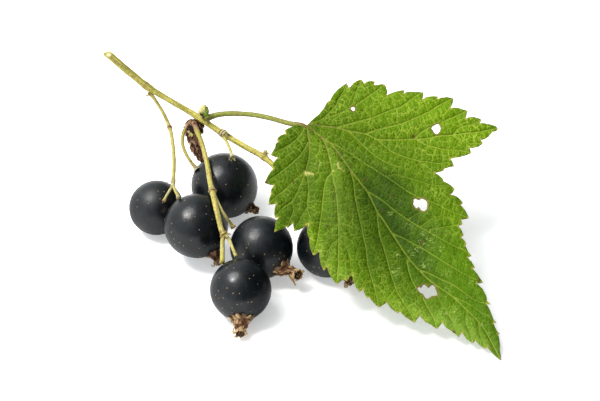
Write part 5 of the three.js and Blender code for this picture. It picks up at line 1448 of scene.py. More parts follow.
def make_calyx(key, seed):
    line = np.array(CALYX_LINES[key], float)
    centre, radius, axis = BERRIES[key]
    centre, axis = np.array(centre), np.array(axis) / np.linalg.norm(axis)
    lean = np.array(CALYX_LEAN.get(key, (0, 0, 0)), float)
    axis = (axis + lean) / np.linalg.norm(axis + lean)
    line = line + np.outer([0.8, 1.0, 0.8, 0.5], lean * radius)
    line = line[0] + (line - line[0]) * CALYX_REACH.get(key, 1.0)
    b = Build()
    r = rng(int(300 + seed * 7))
    skin = radius * 1.02
    R0, R1, R2 = CALYX_SHAPE[key]
    # the withered flower tube: broad where it leaves the berry, pleated, drawn in to a neck and open at the mouth
    base = centre + axis * math.sqrt(max(0.1, skin**2 - (R0 * 0.9) ** 2)) * 1.0
    ctrl = np.vstack([base - axis * 0.15, (base + line[1]) / 2, line[1], line[2], line[2] + (line[3] - line[2]) * 0.80])
    rad = [R0, R0 * 0.95, lerp(R0, R1, 0.42), R1 * 0.84, R2 * 1.04]
    if key in MOUTH_TURN:
        step_on, turned = MOUTH_TURN[key]
        ctrl[4] = line[2] + np.array(turned)
        if step_on:
            ctrl[3] = line[2] + np.array(step_on) * 0.5
            ctrl = np.vstack([ctrl[:4], line[2] + np.array(step_on), ctrl[4]])
            rad = rad[:3] + [R1 * 0.84, lerp(R1 * 0.84, R2, 0.55), R2 * 1.04]
    Q = spline(np.column_stack([ctrl, rad]), 0.075)
    C, Rr = Q[:, :3], Q[:, 3]
    n, sides = len(C), 64
    T, S, N = frames(C)
    u = np.linspace(0, 1, n)
    ang = np.arange(sides) / sides * 2 * math.pi
    ph = r.uniform(0, 6.28, 6)
    V = np.zeros((n, sides, 3))
    fold = np.zeros((n, sides))
    for i in range(n):
        k = u[i]
        a = ang + 0.55 * k * math.sin(ph[5]) + 0.12 * np.sin(3 * ang + 5 * k + ph[4])
        crease = lambda q, p, o: np.array([1 - 5.2 * abs(noise.noise(Vector((math.cos(x) * q + o, math.sin(x) * q, k * p + seed)))) for x in a])
        f = 0.70 * crease(1.25, 1.5, 3.1) + 0.50 * crease(2.6, 3.4, 7.7) + 0.30 * crease(5.0, 6.5, 1.3)
        f += 0.16 * np.cos(17 * a + ph[2] + 3 * k)
        amp = 0.07 + 0.11 * smooth(0.05, 0.6, k)
        fold[i] = f
        rr = Rr[i] * (1 + amp * f) * (1 + 0.07 * math.sin(7 * k + ph[2]) + 0.05 * math.sin(15 * k + ph[1]))
        V[i] = C[i] + np.outer(np.cos(ang) * rr, S[i]) + np.outer(np.sin(ang) * rr, N[i])
    # ragged mouth
    for j in range(sides):
        cut = 0.16 * noise.noise(Vector((math.cos(ang[j]) * 2.2, math.sin(ang[j]) * 2.2, seed))) + 0.10 * math.cos(5 * ang[j] + ph[0])
        for i in range(n):
            V[i, j] += T[i] * cut * smooth(0.72, 1.0, u[i])
    P = V.reshape(-1, 3)
    D = P - np.repeat(C, sides, 0)
    D /= np.linalg.norm(D, axis=1)[:, None] + 1e-9
    P = P + D * (0.17 * nz(P, 1.5, seed) + 0.095 * nz(P, 3.6, seed + 2) + 0.04 * nz(P, 8.0, seed + 5))[:, None]
    flat = fold.ravel()
    faces = [tuple(reversed(f)) for f in ring_faces(n, sides)]
    uu = np.repeat(u, sides)
    # painted shade in the fold grooves and painted highlight on the ridges; darker towards the mouth; each flower's
    # painted shade added on top; the flower on b5 gets a painted highlight ring round its neck
    groove_painted_shade = smooth(0.15, -0.95, flat)
    ridge = smooth(0.25, 1.15, flat)
    bright = 0.55 * np.exp(-(((uu - 0.80) / 0.07) ** 2)) * (key == "b5")
    att = dict(dark=np.clip(groove_painted_shade * (0.58 if key in ("b4", "b5") else 0.80) + 0.20 * smooth(0.85, 1.0, uu) + CALYX_PAINTED_SHADE[key] * 0.8 - bright, 0, 1), pale=np.clip(ridge * (0.75 + 0.5 * nz(P, 0.9, seed + 7)) * (1 - CALYX_PAINTED_SHADE[key]) + bright, 0, 1),
               grain=np.stack([np.cos(np.tile(ang, n)) * 0.45, np.sin(np.tile(ang, n)) * 0.45, np.repeat(u, sides) * 0.45 + seed], 1))
    P[:, 2] = np.maximum(P[:, 2], 0.03)
    # inner wall, down into the tube, with painted shade that grows darker the further in it goes
    depth = int(n * 0.55)
    inner, ia = [], []
    for q, i in enumerate(range(n - 1, depth, -1)):
        w = 0.10 + 0.03 * q
        ring = P[i * sides : (i + 1) * sides] - D[i * sides : (i + 1) * sides] * min(w, Rr[i] * 0.75)
        inner.append(ring)
    m = len(inner)
    I = np.vstack(inner)
    I[:, 2] = np.maximum(I[:, 2], 0.03)
    allv = np.vstack([P, I, C[depth][None]])
    off = n * sides
    for j in range(sides):
        k = (j + 1) % sides
        a, c = (n - 1) * sides + j, (n - 1) * sides + k
        faces.append((a, off + j, off + k, c))
    for i in range(m - 1):
        for j in range(sides):
            a, c = off + i * sides + j, off + i * sides + (j + 1) % sides
            faces.append((c, a, a + sides, c + sides))
    last = off + m * sides
    faces += [(off + (m - 1) * sides + (j + 1) % sides, off + (m - 1) * sides + j, last) for j in range(sides)]
    # close the end inside the berry
    allv = np.vstack([allv, C[0][None]])
    faces += [(last + 1, j, (j + 1) % sides) for j in range(sides)]
    dn = np.concatenate([att["dark"], np.repeat(np.clip(0.35 + np.arange(m) * 0.09, 0, 1), sides), [1.0, 1.0]])
    pn = np.concatenate([att["pale"], np.zeros(m * sides + 2)])
    gn = np.vstack([att["grain"], np.zeros((m * sides + 2, 3))])
    b.add(allv, faces, 0, dark=dn, pale=pn, grain=gn)

    tipd = T[-1]
    s1, s2 = S[-1], N[-1]
    # five dead sepals at the mouth, rolled back on themselves
    plan = {"b5": [(2.6, 1, 0.36, 1.15), (3.9, 1, 0.24, 0.9), (5.2, 0, 0.20, 0.8), (0.3, 1, 0.20, 0.9), (1.4, 1, 0.22, 0.8)],
            "b3": [(0.2, 0, 0.16, 1.1), (1.5, 0, 0.18, 1.1), (2.8, 0, 0.16, 1.1), (4.0, 0, 0.18, 1.1), (5.2, 0, 0.16, 1.1)],
            "b4": [(0.2, 1, 0.17, 1.0), (1.5, 1, 0.18, 0.9), (2.7, 1, 0.20, 1.0), (4.0, 1, 0.16, 0.9), (5.2, 1, 0.18, 0.9)]}.get(key)
    for i in range(5):
        if plan:
            a, outward, rho, w0 = plan[i]
        else:
            a = i / 5 * 2 * math.pi + r.uniform(-0.35, 0.35)
            outward, rho, w0 = int(r.uniform() > 0.45), r.uniform(0.24, 0.38), r.uniform(0.7, 1.05)
        o = math.cos(a) * s1 + math.sin(a) * s2
        q0 = C[-1] + o * R2 * 0.92 - tipd * 0.35
        pts = [q0 - tipd * 0.15]
        turn = r.uniform(3.4, 4.6) if outward else r.uniform(2.4, 3.2)
        for phi in np.linspace(0, turn, 8):
            g = 1 - 0.08 * phi
            side = 1 if outward else -1
            pts.append(q0 + tipd * (0.30 + rho * g * math.sin(phi)) + o * side * rho * (1 - g * math.cos(phi)))
        pts = np.array(pts)
        pts[:, 2] = np.maximum(pts[:, 2], 0.12)
        # the sepals carry the flower's painted shade too
        ribbon(b, pts, lambda t, w0=w0: w0 * (1 - 0.45 * t), thick=0.10, step=0.085, across=8, curl=0.5, up=-o, wave=0.07, seed=seed + i * 1.7, twist=r.uniform(-0.5, 0.5), jag=0.3,
               dark=lambda t, x, oo=outward: np.clip((0.25 if oo else 0.55) + 0.3 * (np.sin(x * 6 + t * 9) > 0.5) + CALYX_PAINTED_SHADE[key], 0, 1), pale=lambda t, x, oo=outward: np.clip((0.85 if oo else 0.35) * (0.5 + np.abs(x)) * (1 - CALYX_PAINTED_SHADE[key]), 0, 1))
    # torn papery collar lying against the berry
    sa = np.cross(axis, (0.3, 0.2, 0.93))
    sa /= np.linalg.norm(sa)
    sb = np.cross(axis, sa)
    flakes = 15
    for i in range(flakes):
        a = i / flakes * 2 * math.pi + r.uniform(-0.2, 0.2)
        o = math.cos(a) * sa + math.sin(a) * sb
        reach = R0 * r.uniform(0.98, 1.14)
        pts3 = []
        for q in (0.0, 0.5, 1.0):
            rr = reach - q * (reach - R0 * 0.72)
            hgt = math.sqrt(max(0.1, skin**2 - rr**2)) + 0.03 + 0.34 * q * r.uniform(0.8, 1.2)
            p_ = centre + axis * (hgt + 0.03) + o * rr
            p_[2] = max(p_[2], 0.12)
            pts3.append(p_)
        w0 = r.uniform(0.60, 1.15) * R0 / 1.75
        # the collar flakes carry the flower's painted shade too
        ribbon(b, pts3, lambda t, w0=w0: w0 * (0.30 + 0.70 * t), thick=0.07, step=0.10, curl=r.uniform(-0.9, 0.9), up=axis, wave=0.09, seed=seed + 20 + i, jag=0.45,
               dark=lambda t, x, k=i: np.clip(np.full(t.shape, 0.7 if k % 3 == 0 else 0.12) + CALYX_PAINTED_SHADE[key], 0, 1), pale=lambda t, x, k=i: np.full(t.shape, 0.75 if k % 3 == 1 else 0.2) * (1 - CALYX_PAINTED_SHADE[key]))
    # withered stamens and style in the mouth
    for i in range(5):
        a = r.uniform(0, 6.28)
        o = math.cos(a) * s1 + math.sin(a) * s2
        q = C[-1] - tipd * 0.7 + o * 0.15
        e = C[-1] + tipd * r.uniform(0.05, 0.35) + o * r.uniform(0.1, 0.45)
        mid = (q + e) / 2 + o * 0.12
        for p_ in (q, mid, e):
            p_[2] = max(p_[2], 0.15)
        tube(b, [[*q, 0.08], [*mid, 0.07], [*e, 0.08]], sides=8, step=0.12, rough=0.02, ribs=0, seed=seed + i,
             dark=lambda s, L, P: np.full(len(P), 0.35), pale=lambda s, L, P: np.full(len(P), 0.45))
    if key == "b4":
        # torn flakes hang below this flower's neck
        n0 = line[2]
        for (off, w0, sd) in (([(0.15, -0.55, -0.60), (0.29, -0.80, -0.95), (0.56, -1.25, -1.50), (0.80, -1.62, -1.92), (1.04, -1.86, -2.20)], 0.50, 1.0),
                              ([(-0.10, -0.60, -0.75), (0.10, -0.95, -1.15), (0.30, -1.25, -1.45), (0.62, -1.42, -1.66)], 0.42, 2.0)):
            ribbon(b, [list(n0 + np.array(o_)) for o_ in off], lambda t, w0=w0: w0 * (1 - 0.35 * t), thick=0.10, step=0.08, across=8, curl=0.8, up=(0.2, -0.7, 0.6), wave=0.07, seed=seed + 8 + sd, twist=0.8, jag=0.35,
                   dark=lambda t, x: 0.5 * (np.sin(x * 5 + t * 11) > 0.4), pale=lambda t, x: np.clip(0.35 + 0.6 * np.abs(x), 0, 1))
    for arr in b.v:
        arr[:, 2] = np.maximum(arr[:, 2], 0.03)
    return b.object("calyx_%s_visual" % key[1], [MAT_CALYX])


for i, key in enumerate(["b1", "b2", "b3", "b4", "b5", "b6"]):
    finish(make_calyx(key, 3.0 + i * 2), "dried_flower", "calyx_" + key[1])

# ============================================================ stems
def seg_at(points, i):
    P = np.array(points)[:, :3]
    return float(np.concatenate([[0], np.cumsum(np.linalg.norm(np.diff(P, axis=0), axis=1))])[i])


def swellings(places):
    def f(u, s, ang, r):
        k = 1.0
        for s0, amp, width in places:
            k += amp * math.exp(-(((s - s0) / width) ** 2))
        return r * k
    return f


def near(places):
    """Brown at the listed places: (s0, strength, width)."""
    def f(s, L, P):
        v = np.zeros(len(s))
        for s0, amp, width in places:
            v = np.maximum(v, amp * np.exp(-(((s - s0) / width) ** 2)))
        return v
    return f


def node_scales(b, C, T, S, N, seg, s0, count, size, seed, out=0.3):
    """Small dry bract scales round a node."""
    r = rng(int(seed))
    i = int(np.argmin(np.abs(seg - s0)))
    for k in range(count):
        a = k / count * 2 * math.pi + r.uniform(-0.5, 0.5)
        o = math.cos(a) * S[i] + math.sin(a) * N[i]
        base = C[i] + o * size * 0.55 - T[i] * size * 0.35
        mid = C[i] + o * (size * 0.85 + out * 0.4) + T[i] * size * 0.30
        tip = C[i] + o * (size * 0.85 + out) + T[i] * size * 1.0
        ribbon(b, [base, mid, tip], lambda t, z=size: z * (1.15 - 0.95 * t), thick=0.07, step=0.1, curl=1.1, up=-o, wave=0.05, seed=seed + k, jag=0.3,
               brown=lambda t, x: np.clip(0.55 + 0.5 * t, 0, 1), dark=lambda t, x: 0.45 * t, green=0.0, pith=0.0)


def speck(centre, size, amount=1.0):
    centre = np.array(centre, float)
    return lambda s, L, P: amount * np.exp(-((np.linalg.norm(P - centre, axis=1) / size) ** 2))


def both(*fs):
    def f(s, L, P):
        v = np.zeros(len(P))
        for g in fs:
            v = np.maximum(v, g(s, L, P))
        return v
    return f


def flake(b, at, way, normal, length, width, seed, **kw):
    """One small dry scale: starts at a point, runs along way, faces normal."""
    at, way, normal = (np.array(x, float) for x in (at, way, normal))
    way /= np.linalg.norm(way)
    normal /= np.linalg.norm(normal)
    pts = [at - way * 0.12, at + way * length * 0.35 + normal * 0.06, at + way * length * 0.75 + normal * 0.10, at + way * length + normal * 0.02]
    kw = {**dict(brown=0.6, dark=0.0, green=0.0, pith=0.0), **kw}
    ribbon(b, pts, lambda t: width * (1.0 - 0.85 * t ** 1.5), thick=0.08, step=0.09, curl=0.9, up=normal, wave=0.06, seed=seed, jag=0.35, **kw)


def across(points, step=0.1):
    """A function of (s, ring points): -1 at the stalk's lower edge, 1 at its upper edge."""
    C0 = spline(np.array(points, float), step)[:, :3]
    d0 = np.concatenate([[0], np.cumsum(np.linalg.norm(np.diff(C0, axis=0), axis=1))])
    T0 = np.gradient(C0, axis=0)
    T0 /= np.linalg.norm(T0, axis=1)[:, None] + 1e-9
    e = np.cross(np.array([0.0, -0.766, 0.643])[None], T0)
    e /= np.linalg.norm(e, axis=1)[:, None] + 1e-9
    e *= np.where(e @ np.array([0.0, 0.643, 0.766]) < 0, -1, 1)[:, None]

    def f(s, P):
        c = np.stack([np.interp(s, d0, C0[:, i]) for i in range(3)], 1)
        w = np.stack([np.interp(s, d0, e[:, i]) for i in range(3)], 1)
        off = P - c
        return (off * w).sum(1) / (np.linalg.norm(off, axis=1) + 1e-9)
    return f


def make_main_stem():
    b = Build()
    pts = [list(p) for p in CURVES["main_stem"]]
    pts[0] = [pts[0][0] - 0.34, pts[0][1] + 0.30, pts[0][2] + 0.10, pts[0][3]]
    lie = across(pts)
    s_left = seg_at(pts, 5)
    s_mid = seg_at(pts, 10)
    s_node = seg_at(pts, 13) - 1.1
    s_node2 = seg_at(pts, 17)
    end = seg_at(pts, len(pts) - 1)
    sides = 30
    ridge = [(s_left + 0.5, 0.16, 0.9), (s_mid - 0.6, 0.12, 1.4), (s_node, 0.24, 0.75), (s_node - 0.34, 0.13, 0.11), (s_node + 0.05, 0.16, 0.10), (s_node + 0.42, 0.12, 0.10),
             (s_node2 + 0.1, 0.20, 0.55), (s_node2 + 0.35, 0.07, 0.11), (s_node2 - 0.15, 0.06, 0.11), (s_node2 + 3.6, 0.25, 0.5)]
    C0 = spline(np.array(pts, float), 0.1)
    d0 = np.concatenate([[0], np.cumsum(np.linalg.norm(np.diff(C0[:, :3], axis=0), axis=1))])
    place = lambda s_: C0[int(np.argmin(np.abs(d0 - s_)))]
    toward = np.array([0.15, -0.62, 0.77])
    k1 = place(s_node + 1.25)
    dark_at = k1[:3] + toward * k1[3] + np.array([0.0, 0.12, 0.1])
    C, T, S, N, seg = tube(
        b, pts, sides=sides, step=0.085, start_cap=False,
        radial=swellings(ridge),
        rough=0.045, ribs=0.025, seed=1.3,
        green=lambda s, L, P: np.clip(smooth(19.0, 8.0, s) * (0.44 + 0.22 * smooth(13.0, 6.0, s) + 0.90 * np.exp(-(((lie(s, P) - 0.30) / 0.38) ** 2))) + 0.10 * (nz(P, 0.5, 3) > 0.2) + 0.30 * smooth(0.2, 0.6, lie(s, P)) * (nz(P, 0.3, 6) > -0.1) * smooth(22.0, 13.0, s), 0, 1),
        brown=lambda s, L, P: np.maximum(near([(s_left + 0.3, 0.45, 0.4), (s_node - 0.42, 1.2, 0.15), (s_node + 0.10, 1.3, 0.17), (s_node + 0.62, 0.7, 0.16), (s_node2 + 0.2, 0.40, 0.35), (s_node2 + 3.6, 0.6, 0.4), (end, 0.5, 0.5), (0.0, 0.20, 0.15)])(s, L, P),
                                         0.62 * smooth(17.0, 9.0, s) * np.exp(-(((lie(s, P) + 0.30) / 0.30) ** 2)) * (nz(P, 2.0, 9) > 0.02)),
        dark=both(speck(dark_at, 0.46, 1.0), speck(dark_at + np.array([-0.5, 0.25, 0.1]), 0.2, 0.8)),
        pith=near([(s_node - 0.16, 0.55, 0.15), (s_node + 0.36, 0.45, 0.13)]))
    # oblique cut: the first rings are slid along the shoot, then bark rim, wood and pith
    V = b.v[0]
    over = np.array([0.0, -0.766, 0.643])
    over = over - over @ T[0] * T[0]
    w = -0.56 * T[0] + 0.83 * over / np.linalg.norm(over)
    w /= np.linalg.norm(w)
    left_ = np.cross(np.array([0.0, -0.766, 0.643]), T[0])
    left_ *= -np.sign(left_[0]) / np.linalg.norm(left_)
    lip = 0.80 * left_ - 0.60 * over / np.linalg.norm(over)
    reach = 30
    for ring in range(0, reach):
        for j in range(sides):
            p = V[ring * sides + j]
            shift = -((p - C[ring]) @ w) / (T[0] @ w)
            out = p - C[ring]
            out = out - out @ T[0] * T[0]
            peak = max(0.0, out @ lip / np.linalg.norm(out)) ** 1.5
            V[ring * sides + j] = p + T[0] * (shift * 0.95 + 0.52 * (1 - peak) - 0.05) * (1 - ring / float(reach))
    ring0 = V[:sides].copy()
    c0 = ring0.mean(0) + T[0] * 0.36 - left_ * 0.02
    levels = [(0.90, 0.03), (0.78, -0.05), (0.56, 0.02), (0.34, -0.09), (0.16, -0.14)]
    vs, fs = [ring0], []
    pith = [np.full(sides, 0.10)]
    brown = [np.full(sides, 0.5)]
    fresh = [np.full(sides, 0.55)]
    for q, h in levels:
        fresh.append(np.full(sides, 0.46 if q > 0.45 else 0.12))
        vs.append(c0 + (ring0 - c0) * q - T[0] * h * 1.0)
        pith.append(np.full(sides, 0.0 if q > 0.7 else (0.06 if q > 0.45 else 0.85)))
        brown.append(0.75 * np.clip(np.cos(np.arange(sides) / sides * 2 * math.pi - 2.4), 0, 1) ** 2 if q > 0.7 else np.full(sides, 0.0))
    vs.append(c0[None] + T[0] * 0.14)
    pith.append([1.0])
    brown.append([0.0])
    fresh.append([0.0])
    n = len(levels) + 1
    for i in range(n - 1):
        for j in range(sides):
            a, c = i * sides + j, i * sides + (j + 1) % sides
            fs.append((a, c, c + sides, a + sides))
    k = n * sides
    fs += [(k, (n - 1) * sides + j, (n - 1) * sides + (j + 1) % sides) for j in range(sides)]
    VV = np.vstack(vs)
    VV[sides:] += T[0] * (0.06 * nz(VV[sides:], 3.0, 4))[:, None]
    b.add(VV, fs, 0, pith=np.concatenate(pith), brown=np.concatenate(brown), green=np.concatenate(fresh), dark=0.0, grain=VV * 0.2)
    # scales left at the nodes
    p = place(s_node - 0.1)
    t_ = T[int(np.argmin(np.abs(seg - s_node)))]
    flake(b, p[:3] + np.array([-0.10, -0.28, 0.45]), t_ * 0.6 + np.array([0.2, -0.5, 0.1]), (0, -0.6, 0.8), 0.8, 0.55, 41, brown=0.35, pith=0.35)
    flake(b, p[:3] + np.array([-0.25, -0.42, 0.05]), np.array([0.3, -0.9, -0.3]), (-0.3, -0.6, 0.7), 0.75, 0.6, 43, brown=0.7)
    flake(b, p[:3] + np.array([0.05, 0.40, 0.30]), t_ + np.array([0, 0.5, 0.3]), (0, 0.6, 0.8), 0.6, 0.5, 44, brown=0.8)
    p = place(s_node2 + 0.1)
    flake(b, p[:3] + np.array([0.30, 0.20, 0.50]), np.array([0.8, 0.15, 0.10]), (0, -0.3, 0.95), 0.7, 0.50, 48, brown=0.6, pith=0.2)
    flake(b, p[:3] + np.array([-0.30, 0.20, 0.40]), np.array([-0.3, 0.7, 0.6]), (-0.3, -0.3, 0.85), 0.55, 0.5, 49, brown=0.7)
    up_ = np.array([0.16, 0.643, 0.766])
    q = p[:3] + up_ * p[3] * 0.55
    tube(b, [[*q, 0.50], [*(q + up_ * 0.42), 0.46], [*(q + up_ * 0.80), 0.40], [*(q + up_ * 1.02), 0.30]], sides=16, step=0.07, rough=0.10, ribs=0.06, seed=4.4,
         brown=lambda s, L, P: np.clip(0.35 + 0.6 * (nz(P, 1.8, 5) > 0.05) * smooth(0.3, 0.7, s), 0, 1), green=0.0, dark=0.0, pith=lambda s, L, P: 0.45 * smooth(0.5, 1.0, s))
    node_scales(b, C, T, S, N, seg, s_node2 + 3.5, 3, 0.30, 53, 0.08)
    return b.object("main_stem_visual", [MAT_STEM])


def make_left():
    b = Build()
    A, P1, P2 = CURVES["left_strig"], CURVES["left_ped1"], CURVES["left_ped2"]
    sn = seg_at(A, 3)
    end = seg_at(A, len(A) - 1)
    at = dict(green=lambda s, L, P: 0.36 + 0.25 * nz(P, 0.4, 3), dark=0.0)
    lie = across(A)
    C, T, S, N, seg = tube(b, A, sides=18, step=0.10, radial=swellings([(0, 0.45, 0.5), (sn, 0.30, 0.35), (sn + 0.15, 0.14, 0.10), (sn - 0.15, 0.14, 0.10), (end - 0.3, 0.25, 0.8)]), rough=0.03, ribs=0.03, seed=2.1,
                           brown=lambda s, L, P: np.maximum(near([(0, 0.75, 0.6), (sn, 0.95, 0.35), (end - 0.6, 0.45, 0.3)])(s, L, P), 0.55 * smooth(0.15, 0.85, lie(s, P)) * smooth(sn, sn - 1.5, s)),
                           pith=near([(end, 0.25, 0.8)]), **{**at, "green": lambda s, L, P: 0.95 * smooth(sn - 0.5, sn - 2.5, s) + 0.26 + 0.2 * nz(P, 0.4, 3)})
    flake(b, C[4] + np.array([-0.25, -0.20, 0.05]), (-0.8, -0.45, -0.1), (-0.3, -0.3, 0.9), 0.95, 0.60, 57, brown=0.8)
    flake(b, C[5] + np.array([-0.10, 0.10, 0.25]), (-0.75, 0.1, 0.1), (0, 0.2, 1), 0.6, 0.45, 58, brown=0.55, pith=0.3)
    node_scales(b, C, T, S, N, seg, sn, 3, 0.30, 61, 0.08)
    e3 = C[-1]
    flake(b, e3 + np.array([-0.15, 0.0, 0.18]), (-0.85, -0.35, 0.25), (0, -0.2, 1), 0.95, 0.42, 62, brown=0.05, pith=0.95)
    flake(b, e3 + np.array([-0.05, -0.10, 0.25]), (-0.4, 0.5, 0.5), (0, -0.4, 1), 0.55, 0.40, 63, brown=0.35, pith=0.5)
    flake(b, e3 + np.array([0.12, 0.05, 0.22]), (0.6, 0.4, 0.3), (0, -0.2, 1), 0.55, 0.40, 64, brown=0.75)
    for k, P in enumerate((P1, P2)):
        e = seg_at(P, len(P) - 1)
        tube(b, P, sides=16, step=0.10, radial=swellings([(e, 0.42, 0.35), (e - 0.35, 0.10, 0.12)]), rough=0.03, ribs=0.03, seed=2.7 + k,
             brown=near([(e, 0.9 if k == 0 else 0.42, 0.35), (1.6, 0.45, 0.25)]), pith=(near([(e * 0.6, 0.35, 1.3)]) if k == 0 else near([(e * 0.3, 0.15, 0.8), (e - 0.1, 0.30, 0.4)])), **at)
    return b.object("left_strig_visual", [MAT_STRIG])


def make_middle():
    b = Build()
    A = [list(p) for p in CURVES["middle_strig"]]
    first = np.array(A[0][:3]) - np.array(A[1][:3])
    first /= np.linalg.norm(first)
    A[0] = [*(np.array(A[0][:3]) + first * 0.45), A[0][3] * 0.86]
    at = dict(green=lambda s, L, P: 0.10 + 0.3 * nz(P, 0.35, 7), dark=0.0)
    sn, end = seg_at(A, 6), seg_at(A, len(A) - 1)
    C, T, S, N, seg = tube(b, A, sides=20, step=0.10, radial=swellings([(0.4, 0.10, 1.0), (sn + 0.2, 0.26, 0.6), (sn - 0.25, 0.12, 0.12), (sn + 0.35, 0.14, 0.12), (end, 0.30, 0.6), (end - 0.5, 0.12, 0.12)]), rough=0.035, ribs=0.03, seed=3.4,
                           brown=near([(0.5, 0.62, 1.4), (sn - 0.3, 0.95, 0.3), (sn + 0.45, 1.05, 0.35), (end - 0.5, 0.85, 0.25), (end + 0.1, 0.8, 0.3)]), dark=0.0, pith=near([(sn, 0.3, 0.2)]), pink=lambda s, L, P: 0.85 * smooth(3.0, 1.2, s),
                           green=lambda s, L, P: 0.75 * smooth(9.5, 1.0, s) + 0.10 + 0.2 * nz(P, 0.35, 7))
    i = int(np.argmin(np.abs(seg - sn)))
    p = C[i]
    flake(b, p + np.array([0.30, -0.15, 0.30]), (0.75, -0.45, 0.10), (0.2, -0.5, 0.8), 0.62, 0.55, 71, brown=0.7)
    flake(b, p + np.array([-0.35, -0.10, 0.15]), (-0.55, -0.75, 0.0), (-0.5, -0.5, 0.7), 0.55, 0.55, 72, brown=0.55, pith=0.2)
    flake(b, p + np.array([0.05, -0.30, 0.35]), (0.15, -0.9, 0.0), (0, -0.5, 0.85), 0.8, 0.60, 73, brown=0.45, pith=0.3)
    p = C[-1]
    flake(b, p + np.array([0.30, -0.05, 0.20]), (0.85, -0.1, -0.05), (0.2, -0.4, 0.9), 0.95, 0.60, 74, brown=0.6)
    flake(b, p + np.array([0.25, -0.30, 0.15]), (0.6, -0.8, -0.1), (0.2, -0.6, 0.8), 0.8, 0.55, 75, brown=0.45, pith=0.3)
    flake(b, p + np.array([-0.30, -0.15, 0.15]), (-0.5, -0.8, -0.2), (-0.4, -0.5, 0.8), 0.7, 0.55, 76, brown=0.55)
    for k, nm in enumerate(("mid_stub", "mid_ped5", "mid_ped4")):
        P = CURVES[nm]
        e = seg_at(P, len(P) - 1)
        flare = 0.40 if nm == "mid_ped4" else 0.10
        tube(b, P, sides=16, step=0.10, radial=swellings([(e, flare, 0.35), (1.0, 0.14, 0.15)]), rough=0.03, ribs=0.03, seed=3.9 + k,
             brown=near([(e, 0.75 if nm == "mid_ped4" else 0.25, 0.35), (0.9, 0.55, 0.25)]), pith=near([(e * 0.5, 0.18, 0.9)]), **at)
    return b.object("middle_strig_visual", [MAT_STRIG])


def frayed_end(b, C, T, S, N, count, size, seed, **kw):
    """The torn receptacle where a berry sat, or sits: a ring of short curled prongs."""
    r = rng(int(seed))
    for k in range(count):
        a = k / count * 2 * math.pi + r.uniform(-0.25, 0.25)
        o = math.cos(a) * S[-1] + math.sin(a) * N[-1]
        p0 = C[-1] - T[-1] * size * 0.4 + o * size * 0.35
        p1 = C[-1] + T[-1] * size * 0.35 + o * size * r.uniform(0.8, 1.1)
        p2 = C[-1] + T[-1] * size * r.uniform(0.7, 1.15) + o * size * r.uniform(1.1, 1.7)
        ribbon(b, [p0, p1, p2], lambda t, z=size: z * (1.1 - 0.9 * t), thick=0.10, step=0.09, curl=0.8, up=-o, wave=0.05, seed=seed + k, jag=0.3, **kw)


def make_curved():
    b = Build()
    A = CURVES["curved_pedicel"]
    A = [[A[0][0] + 0.80, A[0][1] + 0.24, A[0][2] + 0.76, 0.30], [A[0][0] + 0.40, A[0][1] + 0.22, A[0][2] + 0.56, 0.34]] + [list(p) for p in A]
    A[2] = [A[2][0] - 0.02, A[2][1] - 0.05, A[2][2] + 0.25, A[2][3]]
    e = seg_at(A, len(A) - 1)
    C, T, S, N, seg = tube(b, A, sides=16, step=0.10, radial=swellings([(0, 0.25, 0.5), (e, 0.35, 0.4), (e - 0.9, 0.12, 0.15)]), rough=0.03, ribs=0.03, seed=5.2,
                           brown=near([(0, 0.5, 1.0), (e, 0.65, 0.8), (e * 0.86, 0.5, 0.25)]), pink=lambda s, L, P: 0.85 * smooth(3.2, 1.5, s), green=lambda s, L, P: 0.60 + 0.3 * nz(P, 0.5, 2), dark=0.0, pith=near([(e, 0.25, 0.3)]))
    frayed_end(b, C, T, S, N, 7, 0.60, 81, brown=lambda t, x: 0.15 + 0.45 * (np.abs(x) > 0.6), dark=0.0, green=0.0, pith=lambda t, x: 0.65 * (np.abs(x) < 0.7))
    return b.object("curved_pedicel_visual", [MAT_STRIG])


def make_short():
    b = Build()
    A = [list(p) for p in CURVES["short_pedicel"]]
    A[-2][3] = 0.30
    A[-1][3] = 0.42
    e = seg_at(A, len(A) - 1)
    C, T, S, N, seg = tube(b, A, sides=16, step=0.09, radial=swellings([(0, 0.35, 0.4), (e - 0.35, 0.10, 0.12)]), rough=0.025, ribs=0.03, seed=6.1,
                           brown=near([(e, 0.45, 0.35), (0, 0.6, 0.3)]), green=0.05, dark=0.0, pith=near([(e - 0.8, 0.45, 0.9)]))
    frayed_end(b, C, T, S, N, 7, 0.48, 91, brown=lambda t, x: 0.35 + 0.45 * (x > 0.1), dark=lambda t, x: 0.0 * t, green=0.0, pith=lambda t, x: 0.55 * (x < 0.2))
    return b.object("short_pedicel_visual", [MAT_STRIG])


def make_petiole():
    b = Build()
    A = [list(p) for p in CURVES["petiole"]]
    J = LEAF_VEINS[0][1][0]
    zj = float(blade_height(np.array(J[0]), np.array(J[1])))
    A.append([J[0] - 0.25, J[1] + 0.02, zj - 0.26, 0.36])
    A.append([J[0] + 0.95, J[1] - 0.62, zj - 0.72, 0.16])
    L0 = seg_at(A, len(A) - 1)
    lie = across(A, 0.16)
    C, T, S, N, seg = tube(b, A, sides=22, step=0.16,
                           radial=lambda u, s, ang, r: r * (1 - 0.16 * np.exp(-(((ang - math.pi / 2) / 0.45) ** 2)) + 0.35 * math.exp(-((s / 0.7) ** 2))),
                           rough=0.025, ribs=0.02, seed=7.3,
                           green=lambda s, L, P: 0.55 + 0.3 * nz(P, 0.3, 5), brown=lambda s, L, P: np.clip(smooth(L - 5.5, L - 0.8, s) * 0.5 + 0.25 * smooth(1.5, 0.0, s) + 0.42 * smooth(0.70, 0.97, np.abs(lie(s, P))), 0, 1),
                           dark=0.0, pith=0.0)
    return b.object("petiole_visual", [MAT_PETIOLE])


